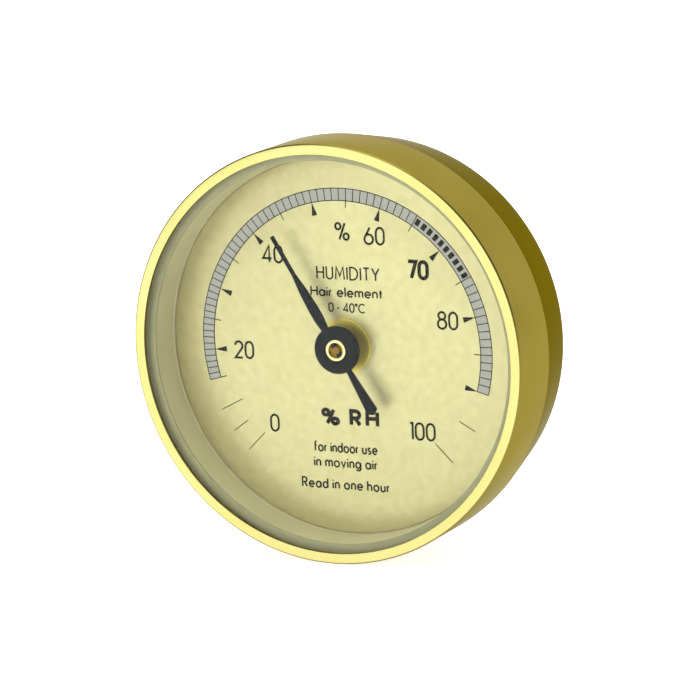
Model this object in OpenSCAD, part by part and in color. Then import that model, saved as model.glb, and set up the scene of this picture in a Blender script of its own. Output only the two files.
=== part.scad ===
// Dial hygrometer with a hair movement in a two-piece brass-coloured case.
// The dial faces -Y, +Z is up, and the origin is the centre of the flat back.
// Every piece is drawn in the dial's own frame, x to the right, y up and z towards the reader,
// with z = 0 on the back face, and upright() then turns it to stand in the part's frame.

/* [Case] */
// Outer diameter of the bezel's barrel
case_d = 75; // [72:0.5:110]
// Depth of the whole case, back face to front face
case_h = 25; // [24.5:0.1:40]
// Length of the straight barrel, from the front face
barrel_h = 12.4; // [10.5:0.1:14]
// How much smaller the back is than the barrel, on the diameter
back_taper = 4.6; // [2:0.1:6]
// Wall thickness of the bezel and the rear case
wall = 1.2; // [1:0.02:1.6]
// Width of the bezel's flat front face
lip_w = 1.9; // [1.75:0.05:2.2]
// Thickness of the bezel's lip over the glass
lip_t = 0.5; // [0.4:0.05:0.9]
// Chamfer on the bezel's outer front edge
front_chamfer = 0.2; // [0.1:0.05:0.4]
// Radius of the edge round the back
back_edge_r = 1; // [0.5:0.1:1.1]

/* [Glass stack] */
// Thickness of the crystal
glass_t = 1.6; // [1.2:0.1:2]
// Thickness of the seal behind the crystal
gasket_t = 0.5; // [0.3:0.05:0.8]
// Radial width of the seal
gasket_w = 1.9; // [1.9:0.05:2.6]
// Radial wall of the spacer ring between seal and dial
spacer_wall = 1.9; // [1.5:0.05:2.2]
// Radius of the hollow where the spacer meets the dial
spacer_hollow = 0.5; // [0.3:0.1:1.2]
// Depth of the dial's face behind the bezel's front face
dial_depth = 9.2; // [8.9:0.1:11.5]
// Thickness of the dial
dial_t = 0.5; // [0.4:0.05:0.8]

/* [Pointer] */
// Length of the pointer from its axis to the tip
pointer_len = 23.1; // [18:0.1:30]
// Length of the pointer's tail from its axis
tail_len = 13.2; // [10:0.1:18]
// Diameter of the pointer's round hub
hub_d = 8.6; // [6:0.1:10]
// Largest width of the pointer's blade
blade_w = 2; // [1.4:0.05:2.6]
// Width of the pointer's tip
tip_w = 0.76; // [0.4:0.02:1]
// Thickness of the blade
blade_t = 0.4; // [0.3:0.05:0.6]
// Thickness of the pointer's hub
hub_t = 0.8; // [0.7:0.05:1]
// Depth of the hub's front face behind the bezel's front face
hub_depth = 5.3; // [5:0.05:5.8]
// Angle that the pointer stands at, from the top and positive clockwise
pointer_rest = -30.9; // [-60:0.1:60]

/* [Scale] */
// Half of the angle that the pointer sweeps, from 0 to 100 percent
half_sweep = 134.8; // [120:0.1:140]

/* [Gears] */
// Module of the pinion and the sector
gear_module = 0.3; // [0.28:0.01:0.38]
// Teeth of the pinion
pinion_teeth = 12; // [12:1:14]
// Turns of the pinion for one of the sector
gear_ratio = 8; // [8:1:9]
// Thickness of the toothed sector
sector_t = 0.8; // [0.5:0.05:0.95]
// Direction from the pinion's axis to the sector's pivot
pivot_dir = 240; // [236:1:244]

/* [Movement] */
// Thickness of the front and rear plates
plate_t = 1.2; // [1:0.05:1.5]
// Clear height between the plates
plate_gap = 7.9; // [7.8:0.05:8.2]
// Diameter of the steel arbors
arbor_d = 1.3; // [1.1:0.02:1.6]
// Diameter of the arbors' end pivots
pivot_d = 0.8; // [0.6:0.02:0.96]
// Outer diameter of the bearing bushes
bush_d = 2.6; // [2:0.1:3.2]
// Diameter of the pillars between the plates
pillar_d = 3.2; // [2.6:0.1:3.9]
// Diameter of the flange of the dial's brass boss
boss_d = 10; // [9:0.1:12]
// Diameter of the boss's shank through dial and plate
boss_shank_d = 6; // [5:0.1:7]

/* [Hair] */
// Distance between the two pins that the hair bundle hangs on
hair_len = 42; // [36:0.5:44]
// Diameter of the hair bundle
hair_d = 0.56; // [0.3:0.02:0.6]
// Crank radius of the sector's hair arm
arm_r = 2.2; // [2:0.05:2.6]
// Throw of the calibration spindle's eccentric pin
eccentric_r = 1.5; // [1:0.05:1.6]
// Half of the calibration spindle's turn
calibration_half_turn = 25; // [10:1:30]

/* [Vents] */
// Number of air slots in the back
vent_count = 12; // [6:1:14]
// Width of an air slot
vent_w = 2.4; // [1.5:0.1:3]
// Distance from the axis to the inner end of an air slot
vent_in_r = 11; // [10:0.5:12]
// Distance from the axis to the outer end of an air slot
vent_out_r = 22; // [18:0.5:24]
// Diameter of the screwdriver hole over the calibration spindle
access_d = 4; // [3:0.1:5]

/* [Clearances] */
// Radial gap round pieces that drop into the bezel
drop_gap = 0.1; // [0.05:0.01:0.2]
// Radial gap of a pressed or screwed joint
seat_gap = 0.02; // [0.01:0.005:0.04]
// Radial gap of a turning pivot in its bush
pivot_gap = 0.04; // [0.02:0.005:0.06]
// Radial gap of a hair pin in its clip's eye
pin_gap = 0.06; // [0.05:0.01:0.08]
// Share of the tooth thickness that is taken off as backlash
backlash = 0.14; // [0.1:0.01:0.2]
// Radial gap of a loose hole round a screw or stud
loose_gap = 0.1; // [0.05:0.01:0.2]

/* [Hidden] */
$fn = 96;
eps = 0.01;

// Edge of the spacer's foot on the dial
spacer_foot = 0.1;

// Radii of the case
case_r = case_d / 2;
back_r = case_r - back_taper / 2;
bore_r = case_r - wall;
window_r = case_r - lip_w;
drop_r = bore_r - drop_gap;
shoulder_z = case_h - barrel_h;

// Heights above the back face, from the front backwards
glass_z = case_h - lip_t - glass_t;
gasket_z = glass_z - gasket_t;
dial_z = case_h - dial_depth;
dial_back_z = dial_z - dial_t;
front_plate_z = dial_back_z - plate_t;
rear_plate_top_z = front_plate_z - plate_gap;
rear_plate_z = rear_plate_top_z - plate_t;

// Pointer and its collet
hub_top_z = case_h - hub_depth;
hub_z = hub_top_z - hub_t;
blade_z = hub_z + (hub_t - blade_t) / 2;
collet_rise = 0.2;
collet_flange_r = 1.9;
collet_cup_r = 1.3;
collet_cup_depth = 0.55;
collet_neck_r = 1.5;
collet_foot_gap = 0.5;

// Boss of the dial
boss_r = boss_d / 2;
boss_rim_t = 0.35;
boss_rim_w = 0.3;
boss_dish = 0.2;
boss_nose_r = 1.7;
boss_nose_h = 0.75;
boss_rivet = 0.3;

// Arbors
arbor_r = arbor_d / 2;
pivot_r = pivot_d / 2;
bush_r = bush_d / 2;
shoulder_gap = 0.2;
pivot_short = 0.2;

// Gears
pinion_pitch_r = gear_module * pinion_teeth / 2;
sector_teeth = pinion_teeth * gear_ratio;
sector_pitch_r = gear_module * sector_teeth / 2;
centre_distance = pinion_pitch_r + sector_pitch_r;
pressure_angle = 20;
pinion_addendum = 0.95;
sector_addendum = 0.75;
dedendum = 1.2;
tooth_step = 360 / sector_teeth;
sector_half_turn = half_sweep / gear_ratio;
sector_side_teeth = ceil(sector_half_turn / tooth_step) + 1;
sector_rest = pointer_rest / gear_ratio;
mesh_dir = pivot_dir - 180;
pivot_pos = centre_distance * [cos(pivot_dir), sin(pivot_dir)];
sector_rim_w = 1.6;
sector_spoke_w = 1.3;
sector_hub_r = 2.6;
sector_side_gap = 1.5;
sector_z = front_plate_z - sector_side_gap - sector_t;
sector_top_z = sector_z + sector_t;
pinion_reach = 0.45;
sector_collet_r = 2;
sector_collet_neck_r = 1.2;
sector_collet_t = 0.6;

// Plates, pillars and feet
plate_margin = 4.6;
plate_r = centre_distance + plate_margin;
pillar_r = pillar_d / 2;
post_ring_r = centre_distance + 1.3;
pillar_dirs = [15, 150, 305];
foot_dirs = [75, 200, 340];
pillar_shank_r = 0.9;
screw_r = 0.58;
screw_thread_gap = 0.02;
screw_depth = 4;
screw_head_r = 1.5;
screw_head_t = 0.9;
slot_w = 0.45;
slot_depth = 0.4;
foot_r = 0.8;
foot_len = 3;
nut_flats = 3.2;
nut_t = 1.2;
stop_pin_r = 0.6;
stop_gap = 0.15;

// Hairspring
spring_collet_r = 1.5;
spring_collet_t = 1;
spring_turns = 3.5;
spring_in_r = spring_collet_r + 0.12;
spring_out_r = 6;
spring_strip_t = 0.12;
spring_strip_h = 0.5;
spring_step = 15;
spring_start_dir = 140;
spring_z = rear_plate_top_z + 3.6;
stud_r = 0.8;
stud_grip = 0.6;

// Hair, clips and calibration spindle
arm_pin_r = 0.3;
arm_hub_r = 1.5;
arm_end_r = 0.75;
arm_t = 0.8;
clip_t = 0.5;
clip_w = 2;
clip_side_gap = 0.25;
clip_neck = 2.2;
crimp_len = 2.4;
crimp_w = 1.3;
pin_head_r = 0.55;
pin_head_t = 0.2;
hair_grip = 2;
hair_z = rear_plate_top_z + 1.3;
clip_z = hair_z - clip_t / 2;
arm_z = clip_z + clip_t + clip_side_gap;
clip_pin_pos = pivot_pos + arm_r * [cos(180 + sector_rest), sin(180 + sector_rest)];
anchor_pin_pos = clip_pin_pos + [0, hair_len];
spindle_pos = anchor_pin_pos + [eccentric_r, 0];
arm_sweep = arm_r * (1 - cos(sector_half_turn));
eccentric_sweep = eccentric_r * (1 - cos(calibration_half_turn));
spindle_r = 1.5;
spindle_gap = 0.05;
spindle_head_r = 2.6;
spindle_room = rear_plate_z - wall;
spindle_head_t = spindle_room * 6 / 19;
spindle_head_gap = spindle_head_t;
spindle_disc_r = 2.3;
spindle_disc_t = 0.5;
spindle_disc_gap = 0.1;
washer_t = 0.25;
washer_r = 2.7;
tongue_r = 4.2;

// Wall of the spigot that carries the rear case inside the bezel
spigot_wall = 1.3;

// ---------- helpers ----------

// Turns a piece from the dial's frame to the part's frame
module upright() {
    rotate([90, 0, 0]) children();
}

// A point at a distance and a direction
function polar(r, a) = r * [cos(a), sin(a)];

// A tube between two heights
module tube(outer, inner, z, h) {
    translate([0, 0, z])
        difference() {
            cylinder(r = outer, h = h);
            translate([0, 0, -eps]) cylinder(r = inner, h = h + 2 * eps);
        }
}

// A rod between two heights
module rod(r, z, h) {
    translate([0, 0, z]) cylinder(r = r, h = h);
}

// A hole that is cut clean through both faces of a piece
module hole(r, z, h) {
    rod(r, z - eps, h + 2 * eps);
}

// A flat bar with round ends, from one point to another
module bar(from, to, r, z, h) {
    run = to - from;
    translate([from[0], from[1], z])
        rotate([0, 0, atan2(run[1], run[0])])
            linear_extrude(h) {
                circle(r);
                translate([0, -r]) square([norm(run), 2 * r]);
                translate([norm(run), 0]) circle(r);
            }
}

// Moves a copy to each post on the post ring
module at_posts(dirs) {
    for (a = dirs) {
        p = polar(post_ring_r, a);
        translate([p[0], p[1], 0]) children();
    }
}

module at(p) {
    translate([p[0], p[1], 0]) children();
}

// Involute function in radians
function involute(a) = tan(a) - a * PI / 180;

// Half of a tooth's angle at a radius, in degrees
function tooth_half_angle(teeth, base_r, r) =
    (PI / (2 * teeth) * (1 - backlash)
        + involute(pressure_angle) - involute(acos(min(1, base_r / r)))) * 180 / PI;

// One flank as [radius, half angle], from root to tip
function flank(teeth, addendum) =
    let (
        pitch_r = gear_module * teeth / 2,
        base_r = pitch_r * cos(pressure_angle),
        root_r = pitch_r - dedendum * gear_module,
        tip_r = pitch_r + addendum * gear_module,
        start_r = max(base_r, root_r),
        steps = 4
    )
    concat(
        root_r < base_r ? [[root_r, tooth_half_angle(teeth, base_r, base_r)]] : [],
        [for (i = [0 : steps])
            let (r = start_r + (tip_r - start_r) * i / steps)
            [r, tooth_half_angle(teeth, base_r, r)]]
    );

// Outline of the teeth whose numbers are given, the tooth 0 pointing along +X
function teeth_outline(teeth, addendum, numbers) =
    let (side = flank(teeth, addendum), last = len(side) - 1)
    [for (n = numbers)
        let (mid = n * 360 / teeth)
        each concat(
            [for (i = [0 : last]) polar(side[i][0], mid - side[i][1])],
            [for (i = [last : -1 : 0]) polar(side[i][0], mid + side[i][1])]
        )];

// ---------- case ----------

module bezel() {
    color([0.92, 0.85, 0.42])
        upright()
            rotate_extrude()
                polygon([
                    [bore_r, shoulder_z],
                    [case_r, shoulder_z],
                    [case_r, case_h - front_chamfer],
                    [case_r - front_chamfer, case_h],
                    [window_r, case_h],
                    [window_r, case_h - lip_t],
                    [bore_r, case_h - lip_t]
                ]);
}

// The rounded edge between the back and the tapered side
function back_edge() =
    [for (a = [-90 : 15 : -10])
        [back_r - back_edge_r + back_edge_r * cos(a), back_edge_r + back_edge_r * sin(a)]];

module rear_case() {
    color([0.72, 0.66, 0.28])
        upright()
            difference() {
                rotate_extrude()
                    polygon(concat(
                        [[0, 0]],
                        back_edge(),
                        [
                            [case_r, shoulder_z],
                            [bore_r - seat_gap, shoulder_z],
                            [bore_r - seat_gap, dial_back_z],
                            [bore_r - spigot_wall, dial_back_z],
                            [bore_r - spigot_wall, shoulder_z - wall],
                            [back_r - wall, wall + back_edge_r],
                            [back_r - wall - back_edge_r, wall],
                            [0, wall]
                        ]
                    ));
                for (i = [0 : vent_count - 1])
                    bar(
                        polar(vent_in_r + vent_w / 2, (i + 0.5) * 360 / vent_count),
                        polar(vent_out_r - vent_w / 2, (i + 0.5) * 360 / vent_count),
                        vent_w / 2, -eps, wall + 2 * eps
                    );
                at(spindle_pos) hole(access_d / 2, 0, wall);
            }
}

module crystal() {
    bevel = lip_t / 2;
    color([0.8, 0.9, 0.85, 0.3])
        upright()
            rotate_extrude()
                polygon([
                    [0, glass_z],
                    [drop_r, glass_z],
                    [drop_r, glass_z + glass_t - bevel],
                    [drop_r - bevel, glass_z + glass_t],
                    [0, glass_z + glass_t]
                ]);
}

module gasket() {
    color([0.52, 0.54, 0.4])
        upright()
            tube(drop_r, drop_r - gasket_w, gasket_z, gasket_t);
}

module spacer_ring() {
    inner = drop_r - spacer_wall;
    middle = inner - spacer_hollow;
    color([0.62, 0.6, 0.42])
        upright()
            rotate_extrude()
                polygon(concat(
                    [[drop_r, dial_z], [drop_r, gasket_z], [inner, gasket_z]],
                    [for (a = [0 : -15 : -90])
                        [middle + spacer_hollow * cos(a), dial_z + spacer_foot + spacer_hollow * (1 + sin(a))]],
                    [[middle, dial_z]]
                ));
}

// ---------- dial ----------

module dial() {
    color([0.89, 0.87, 0.65])
        upright()
            tube(drop_r, boss_shank_d / 2 + seat_gap, dial_back_z, dial_t);
}

module dial_boss() {
    shank_r = boss_shank_d / 2;
    bore = arbor_r + pivot_gap;
    color([0.75, 0.66, 0.3])
        upright()
            rotate_extrude()
                polygon([
                    [bore, front_plate_z - boss_rivet],
                    [shank_r, front_plate_z - boss_rivet],
                    [shank_r, dial_z],
                    [boss_r, dial_z],
                    [boss_r, dial_z + boss_rim_t],
                    [boss_r - boss_rim_w, dial_z + boss_rim_t],
                    [boss_nose_r + boss_rim_w, dial_z + boss_rim_t - boss_dish],
                    [boss_nose_r, dial_z + boss_nose_h],
                    [bore, dial_z + boss_nose_h]
                ]);
}

// Studs soldered to the dial's back
module dial_feet() {
    color([0.75, 0.66, 0.3])
        upright()
            at_posts(foot_dirs) rod(foot_r, dial_back_z - foot_len, foot_len);
}

module dial_nuts() {
    color([0.75, 0.66, 0.3])
        upright()
            at_posts(foot_dirs)
                difference() {
                    translate([0, 0, front_plate_z - nut_t])
                        cylinder(d = nut_flats / cos(30), h = nut_t, $fn = 6);
                    hole(foot_r + seat_gap, front_plate_z - nut_t, nut_t);
                }
}

// ---------- pointer and its arbor ----------

// Half of the blade's outline as [half width, distance from the axis]
function pointer_side() = [
    [tip_w / 2, pointer_len],
    [tip_w / 2, pointer_len * 0.66],
    [blade_w * 0.4, pointer_len * 0.5],
    [blade_w / 2, pointer_len * 0.34],
    [blade_w / 2 * 0.95, pointer_len * 0.26],
    [blade_w * 0.34, hub_d / 2 - 0.3],
    [blade_w * 0.25, -hub_d / 2],
    [blade_w * 0.55, -tail_len + 0.7],
    [0, -tail_len]
];

module pointer() {
    side = pointer_side();
    chamfer = 0.2;
    color([0.12, 0.14, 0.18])
        upright()
            rotate([0, 0, -pointer_rest])
                difference() {
                    union() {
                        translate([0, 0, blade_z])
                            linear_extrude(blade_t)
                                polygon(concat(
                                    side,
                                    [for (i = [len(side) - 2 : -1 : 0]) [-side[i][0], side[i][1]]]
                                ));
                        rotate_extrude()
                            polygon([
                                [0, hub_z],
                                [hub_d / 2, hub_z],
                                [hub_d / 2, hub_top_z - chamfer],
                                [hub_d / 2 - chamfer, hub_top_z],
                                [0, hub_top_z]
                            ]);
                    }
                    hole(collet_neck_r + seat_gap, hub_z, hub_t);
                }
}

module pointer_collet() {
    top_z = hub_top_z + collet_rise;
    foot_z = dial_z + boss_nose_h + collet_foot_gap;
    bore = arbor_r + seat_gap;
    color([0.88, 0.75, 0.35])
        upright()
            rotate_extrude()
                polygon([
                    [bore, foot_z],
                    [collet_neck_r, foot_z],
                    [collet_neck_r, hub_top_z],
                    [collet_flange_r, hub_top_z],
                    [collet_flange_r, top_z],
                    [collet_cup_r, top_z],
                    [collet_cup_r, top_z - collet_cup_depth],
                    [bore, top_z - collet_cup_depth]
                ]);
}

// A steel arbor with a pivot at the rear, and one at the front if front_pivot is set
module staff(top_z, front_pivot) {
    shoulder = rear_plate_top_z + shoulder_gap;
    rod(arbor_r, shoulder, top_z - shoulder);
    rod(pivot_r, rear_plate_z + pivot_short, shoulder - rear_plate_z);
    if (front_pivot)
        rod(pivot_r, top_z - eps, front_plate_z + plate_t - pivot_short - top_z + eps);
}

module arbor() {
    color([0.75, 0.7, 0.65])
        upright()
            staff(hub_top_z + collet_rise - collet_cup_depth / 2, false);
}

module pinion() {
    color([0.8, 0.68, 0.32])
        upright()
            rotate([0, 0, pivot_dir + 180 / pinion_teeth - pointer_rest])
                difference() {
                    translate([0, 0, sector_z - pinion_reach])
                        linear_extrude(sector_t + 2 * pinion_reach)
                            polygon(teeth_outline(pinion_teeth, pinion_addendum, [0 : pinion_teeth - 1]));
                    hole(arbor_r + seat_gap, sector_z - pinion_reach, sector_t + 2 * pinion_reach);
                }
}

module hairspring_collet() {
    color([0.8, 0.68, 0.32])
        upright()
            tube(spring_collet_r, arbor_r + seat_gap, spring_z - spring_collet_t / 2, spring_collet_t);
}

// A point on the hairspring's strip, off its middle line by the given distance
function spring_point(turn, off) =
    polar(
        spring_in_r + spring_strip_t / 2 + (spring_out_r - spring_in_r) * turn / (spring_turns * 360) + off,
        spring_start_dir + turn
    );

module hairspring() {
    turns = [for (t = [0 : spring_step : spring_turns * 360]) t];
    half = spring_strip_t / 2;
    color([0.72, 0.5, 0.25])
        upright()
            translate([0, 0, spring_z - spring_strip_h / 2])
                linear_extrude(spring_strip_h)
                    polygon(concat(
                        [for (t = turns) spring_point(t, half)],
                        [for (i = [len(turns) - 1 : -1 : 0]) spring_point(turns[i], -half)]
                    ));
}

// The post that holds the hairspring's outer end in a slit
module hairspring_stud() {
    stop = spring_turns * 360 - spring_step;
    place = spring_point(stop, 0);
    tall = spring_z + spring_strip_h / 2 + 0.4 - rear_plate_top_z;
    slit = spring_strip_t + 0.24;
    color([0.8, 0.68, 0.32])
        upright()
            difference() {
                at(place) rod(stud_r, rear_plate_top_z, tall);
                translate([place[0], place[1], spring_z - spring_strip_h / 2 - 0.1])
                    rotate([0, 0, spring_start_dir + stop + 90])
                        translate([-2 * stud_r, -slit / 2, 0])
                            cube([4 * stud_r, slit, tall]);
            }
}

// ---------- frame of the movement ----------

module front_plate() {
    color([0.78, 0.7, 0.36])
        upright()
            difference() {
                rod(plate_r, front_plate_z, plate_t);
                hole(boss_shank_d / 2 + seat_gap, front_plate_z, plate_t);
                at(pivot_pos) hole(bush_r + seat_gap, front_plate_z, plate_t);
                at_posts(pillar_dirs) hole(pillar_shank_r + seat_gap, front_plate_z, plate_t);
                at_posts(foot_dirs) hole(foot_r + loose_gap, front_plate_z, plate_t);
            }
}

module rear_plate() {
    color([0.78, 0.7, 0.36])
        upright()
            difference() {
                union() {
                    rod(plate_r, rear_plate_z, plate_t);
                    bar([spindle_pos[0], 0], spindle_pos, tongue_r, rear_plate_z, plate_t);
                }
                hole(bush_r + seat_gap, rear_plate_z, plate_t);
                at(pivot_pos) hole(bush_r + seat_gap, rear_plate_z, plate_t);
                at_posts(pillar_dirs) hole(screw_r + loose_gap, rear_plate_z, plate_t);
                at(spindle_pos) hole(spindle_r + spindle_gap, rear_plate_z, plate_t);
            }
}

module pillars() {
    color([0.8, 0.68, 0.32])
        upright()
            at_posts(pillar_dirs)
                difference() {
                    union() {
                        rod(pillar_r, rear_plate_top_z, plate_gap);
                        rod(pillar_shank_r, front_plate_z - eps, plate_t + eps);
                    }
                    hole(screw_r + screw_thread_gap, rear_plate_top_z, screw_depth);
                }
}

module bridge_screws() {
    color([0.6, 0.6, 0.62])
        upright()
            at_posts(pillar_dirs)
                difference() {
                    union() {
                        rod(screw_head_r, rear_plate_z - screw_head_t, screw_head_t);
                        rod(screw_r, rear_plate_z - eps, plate_t + screw_depth - 0.4);
                    }
                    translate([-2 * screw_head_r, -slot_w / 2, rear_plate_z - screw_head_t - eps])
                        cube([4 * screw_head_r, slot_w, slot_depth + eps]);
                }
}

module bushes() {
    bore = pivot_r + pivot_gap;
    color([0.85, 0.72, 0.38])
        upright() {
            tube(bush_r, bore, rear_plate_z, plate_t);
            at(pivot_pos) tube(bush_r, bore, rear_plate_z, plate_t);
            at(pivot_pos) tube(bush_r, bore, front_plate_z, plate_t);
        }
}

// Pins that the sector's rim runs up against at each end of its swing
module stop_pins() {
    ring_r = sector_pitch_r - 1.8;
    rim_half = (sector_side_teeth + 0.5) * tooth_step;
    off = rim_half + sector_half_turn + asin((stop_pin_r + stop_gap) / ring_r);
    color([0.7, 0.7, 0.72])
        upright()
            at(pivot_pos)
                for (side = [-1, 1])
                    at(polar(ring_r, mesh_dir + side * off))
                        rod(stop_pin_r, sector_z - 0.4, front_plate_z - sector_z + 0.4);
}

// ---------- sector and hair arm ----------

// Places a piece on the sector's pivot, turned as the sector stands
module on_sector() {
    at(pivot_pos) rotate([0, 0, sector_rest]) children();
}

module sector() {
    rim_half = (sector_side_teeth + 0.5) * tooth_step;
    root_r = sector_pitch_r - dedendum * gear_module;
    rim_in_r = root_r - sector_rim_w;
    arc_step = rim_half / 6;
    color([0.82, 0.72, 0.4])
        upright()
            on_sector()
                difference() {
                    translate([0, 0, sector_z])
                        linear_extrude(sector_t) {
                            rotate([0, 0, mesh_dir])
                                polygon(concat(
                                    [polar(root_r, -rim_half)],
                                    teeth_outline(sector_teeth, sector_addendum,
                                        [-sector_side_teeth : sector_side_teeth]),
                                    [polar(root_r, rim_half)],
                                    [for (a = [rim_half : -arc_step : -rim_half - arc_step / 2])
                                        polar(rim_in_r, a)]
                                ));
                            circle(sector_hub_r);
                            for (side = [-0.7, 0, 0.7])
                                rotate([0, 0, mesh_dir + side * rim_half])
                                    translate([0, -sector_spoke_w / 2])
                                        square([rim_in_r + sector_rim_w / 2, sector_spoke_w]);
                        }
                    hole(sector_collet_neck_r + seat_gap, sector_z, sector_t);
                }
}

module sector_collet() {
    bore = arbor_r + seat_gap;
    color([0.85, 0.72, 0.38])
        upright()
            on_sector()
                rotate_extrude()
                    polygon([
                        [bore, sector_z - sector_collet_t],
                        [sector_collet_r, sector_z - sector_collet_t],
                        [sector_collet_r, sector_z],
                        [sector_collet_neck_r, sector_z],
                        [sector_collet_neck_r, sector_top_z + 0.3],
                        [bore, sector_top_z + 0.3]
                    ]);
}

module sector_arbor() {
    color([0.7, 0.7, 0.72])
        upright()
            at(pivot_pos) staff(front_plate_z - shoulder_gap, true);
}

module hair_arm() {
    color([0.82, 0.72, 0.4])
        upright()
            on_sector()
                difference() {
                    union() {
                        rod(arm_hub_r, arm_z, arm_t);
                        bar([0, 0], [-arm_r, 0], arm_end_r, arm_z, arm_t);
                        at([-arm_r, 0]) {
                            rod(arm_pin_r, clip_z - clip_side_gap, arm_z - clip_z + clip_side_gap + eps);
                            rod(pin_head_r, clip_z - clip_side_gap - pin_head_t, pin_head_t + eps);
                        }
                    }
                    hole(arbor_r + seat_gap, arm_z, arm_t);
                }
}

// A crimped clip with an eye for a pin at its foot and the hair's end in its barrel.
// sweep is how far the pin moves sideways in the eye, to the right of where it stands.
module crimp_clip(sweep) {
    eye_r = arm_pin_r + pin_gap;
    difference() {
        union() {
            translate([-clip_w / 2, -clip_w / 2, clip_z]) cube([clip_w, clip_w / 2 + clip_neck, clip_t]);
            translate([-crimp_w / 2, clip_neck, hair_z - crimp_w / 2]) cube([crimp_w, crimp_len, crimp_w]);
        }
        bar([-0.05, 0], [sweep + 0.05, 0], eye_r, clip_z - eps, clip_t + 2 * eps);
        translate([0, clip_neck + crimp_len + eps, hair_z])
            rotate([90, 0, 0])
                cylinder(r = hair_d / 2 + seat_gap, h = hair_grip + eps);
    }
}

module hair_clip() {
    color([0.7, 0.7, 0.7])
        upright()
            at(clip_pin_pos) crimp_clip(arm_sweep);
}

module anchor_clip() {
    color([0.7, 0.7, 0.7])
        upright()
            at(anchor_pin_pos) mirror([0, 1, 0]) crimp_clip(eccentric_sweep);
}

module hair_bundle() {
    inset = clip_neck + crimp_len - hair_grip;
    color([0.35, 0.25, 0.15])
        upright()
            translate([clip_pin_pos[0], anchor_pin_pos[1] - inset, hair_z])
                rotate([90, 0, 0])
                    cylinder(r = hair_d / 2, h = hair_len - 2 * inset);
}

// ---------- calibration ----------

spindle_head_z = wall + spindle_head_gap;
spindle_disc_z = rear_plate_top_z + spindle_disc_gap;

module calibration_spindle() {
    color([0.85, 0.72, 0.38])
        upright()
            at(spindle_pos)
                difference() {
                    union() {
                        rod(spindle_head_r, spindle_head_z, spindle_head_t);
                        rod(spindle_r, spindle_head_z, spindle_disc_z + spindle_disc_t - spindle_head_z);
                        rod(spindle_disc_r, spindle_disc_z, spindle_disc_t);
                        at([-eccentric_r, 0])
                            rod(arm_pin_r, spindle_disc_z, arm_z - spindle_disc_z);
                    }
                    translate([-2 * spindle_head_r, -slot_w, spindle_head_z - eps])
                        cube([4 * spindle_head_r, 2 * slot_w, spindle_head_t * 2 / 3 + eps]);
                }
}

// A dished washer that loads the spindle, so that it stays where it is set
module spring_washer() {
    low = spindle_head_z + spindle_head_t;
    bore = spindle_r + 3 * spindle_gap;
    color([0.6, 0.6, 0.62])
        upright()
            at(spindle_pos)
                rotate_extrude()
                    polygon([
                        [bore, low],
                        [bore + 0.3, low],
                        [washer_r, rear_plate_z - washer_t],
                        [washer_r, rear_plate_z],
                        [washer_r - 0.3, rear_plate_z],
                        [bore, low + washer_t]
                    ]);
}

// ---------- the assembly ----------

bezel();
rear_case();
crystal();
gasket();
spacer_ring();
dial();
dial_boss();
dial_feet();
dial_nuts();
pointer();
pointer_collet();
arbor();
pinion();
hairspring_collet();
hairspring();
hairspring_stud();
front_plate();
rear_plate();
pillars();
bridge_screws();
bushes();
stop_pins();
sector();
sector_collet();
sector_arbor();
hair_arm();
hair_clip();
hair_bundle();
anchor_clip();
calibration_spindle();
spring_washer();
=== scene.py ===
"""A round dial hygrometer in a turned brass case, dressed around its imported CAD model.

The dial faces -Y and +Z is up. Sizes are in millimetres and are turned to metres where a mesh is made.
A place on the dial is (u, v, w): u to the right, v up, and w towards the reader from the flat back face.
"""
import logging
import math
from dataclasses import dataclass, field
from enum import Enum
from typing import Any, Callable, Optional, Sequence

import bmesh
import bpy
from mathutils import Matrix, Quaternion, Vector


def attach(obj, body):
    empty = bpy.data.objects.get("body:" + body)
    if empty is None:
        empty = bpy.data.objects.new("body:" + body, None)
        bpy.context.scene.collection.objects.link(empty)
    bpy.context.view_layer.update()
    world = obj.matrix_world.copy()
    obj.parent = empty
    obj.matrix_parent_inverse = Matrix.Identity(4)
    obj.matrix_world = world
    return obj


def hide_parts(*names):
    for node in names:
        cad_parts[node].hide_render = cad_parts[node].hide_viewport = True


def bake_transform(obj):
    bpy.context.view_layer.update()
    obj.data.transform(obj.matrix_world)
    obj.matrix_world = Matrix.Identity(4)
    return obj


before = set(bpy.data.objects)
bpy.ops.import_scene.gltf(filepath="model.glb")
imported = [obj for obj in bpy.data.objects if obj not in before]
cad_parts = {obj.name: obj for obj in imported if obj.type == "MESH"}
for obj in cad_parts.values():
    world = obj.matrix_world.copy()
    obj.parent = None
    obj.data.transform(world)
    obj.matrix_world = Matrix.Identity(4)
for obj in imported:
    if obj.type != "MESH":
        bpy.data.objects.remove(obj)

LOG = logging.getLogger("hygrometer")
MM = 0.001
UM = 1e-6
# A length too small to tell from none
TINY = 1e-6
LATHE_STEPS = 240
# Points nearer than this, in metres, become one
MERGE_UNDER = 1e-7
SMOOTH_UNDER = math.radians(32)
BEVEL_OVER = math.radians(40)
GOLDEN_ANGLE = math.radians(137.508)
CASE_RADIUS = 37.5

Point = tuple[float, float]
Corner = tuple[float, float, float]
Stroke = list[Point]
Socket = bpy.types.NodeSocket
Tree = bpy.types.NodeTree
Mesh = bpy.types.Mesh
Piece = bpy.types.Object


# ---------------------------------------------------------------- colour and nodes


def linear(code: str) -> tuple[float, float, float, float]:
    """Turns an sRGB hex colour to linear light.

    Args:
        code: six hex digits.

    Returns:
        Linear red, green and blue, and an alpha of 1.
    """
    parts = [int(code[i : i + 2], 16) / 255 for i in (0, 2, 4)]
    r, g, b = (c / 12.92 if c <= 0.04045 else ((c + 0.055) / 1.055) ** 2.4 for c in parts)
    return r, g, b, 1.0


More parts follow.
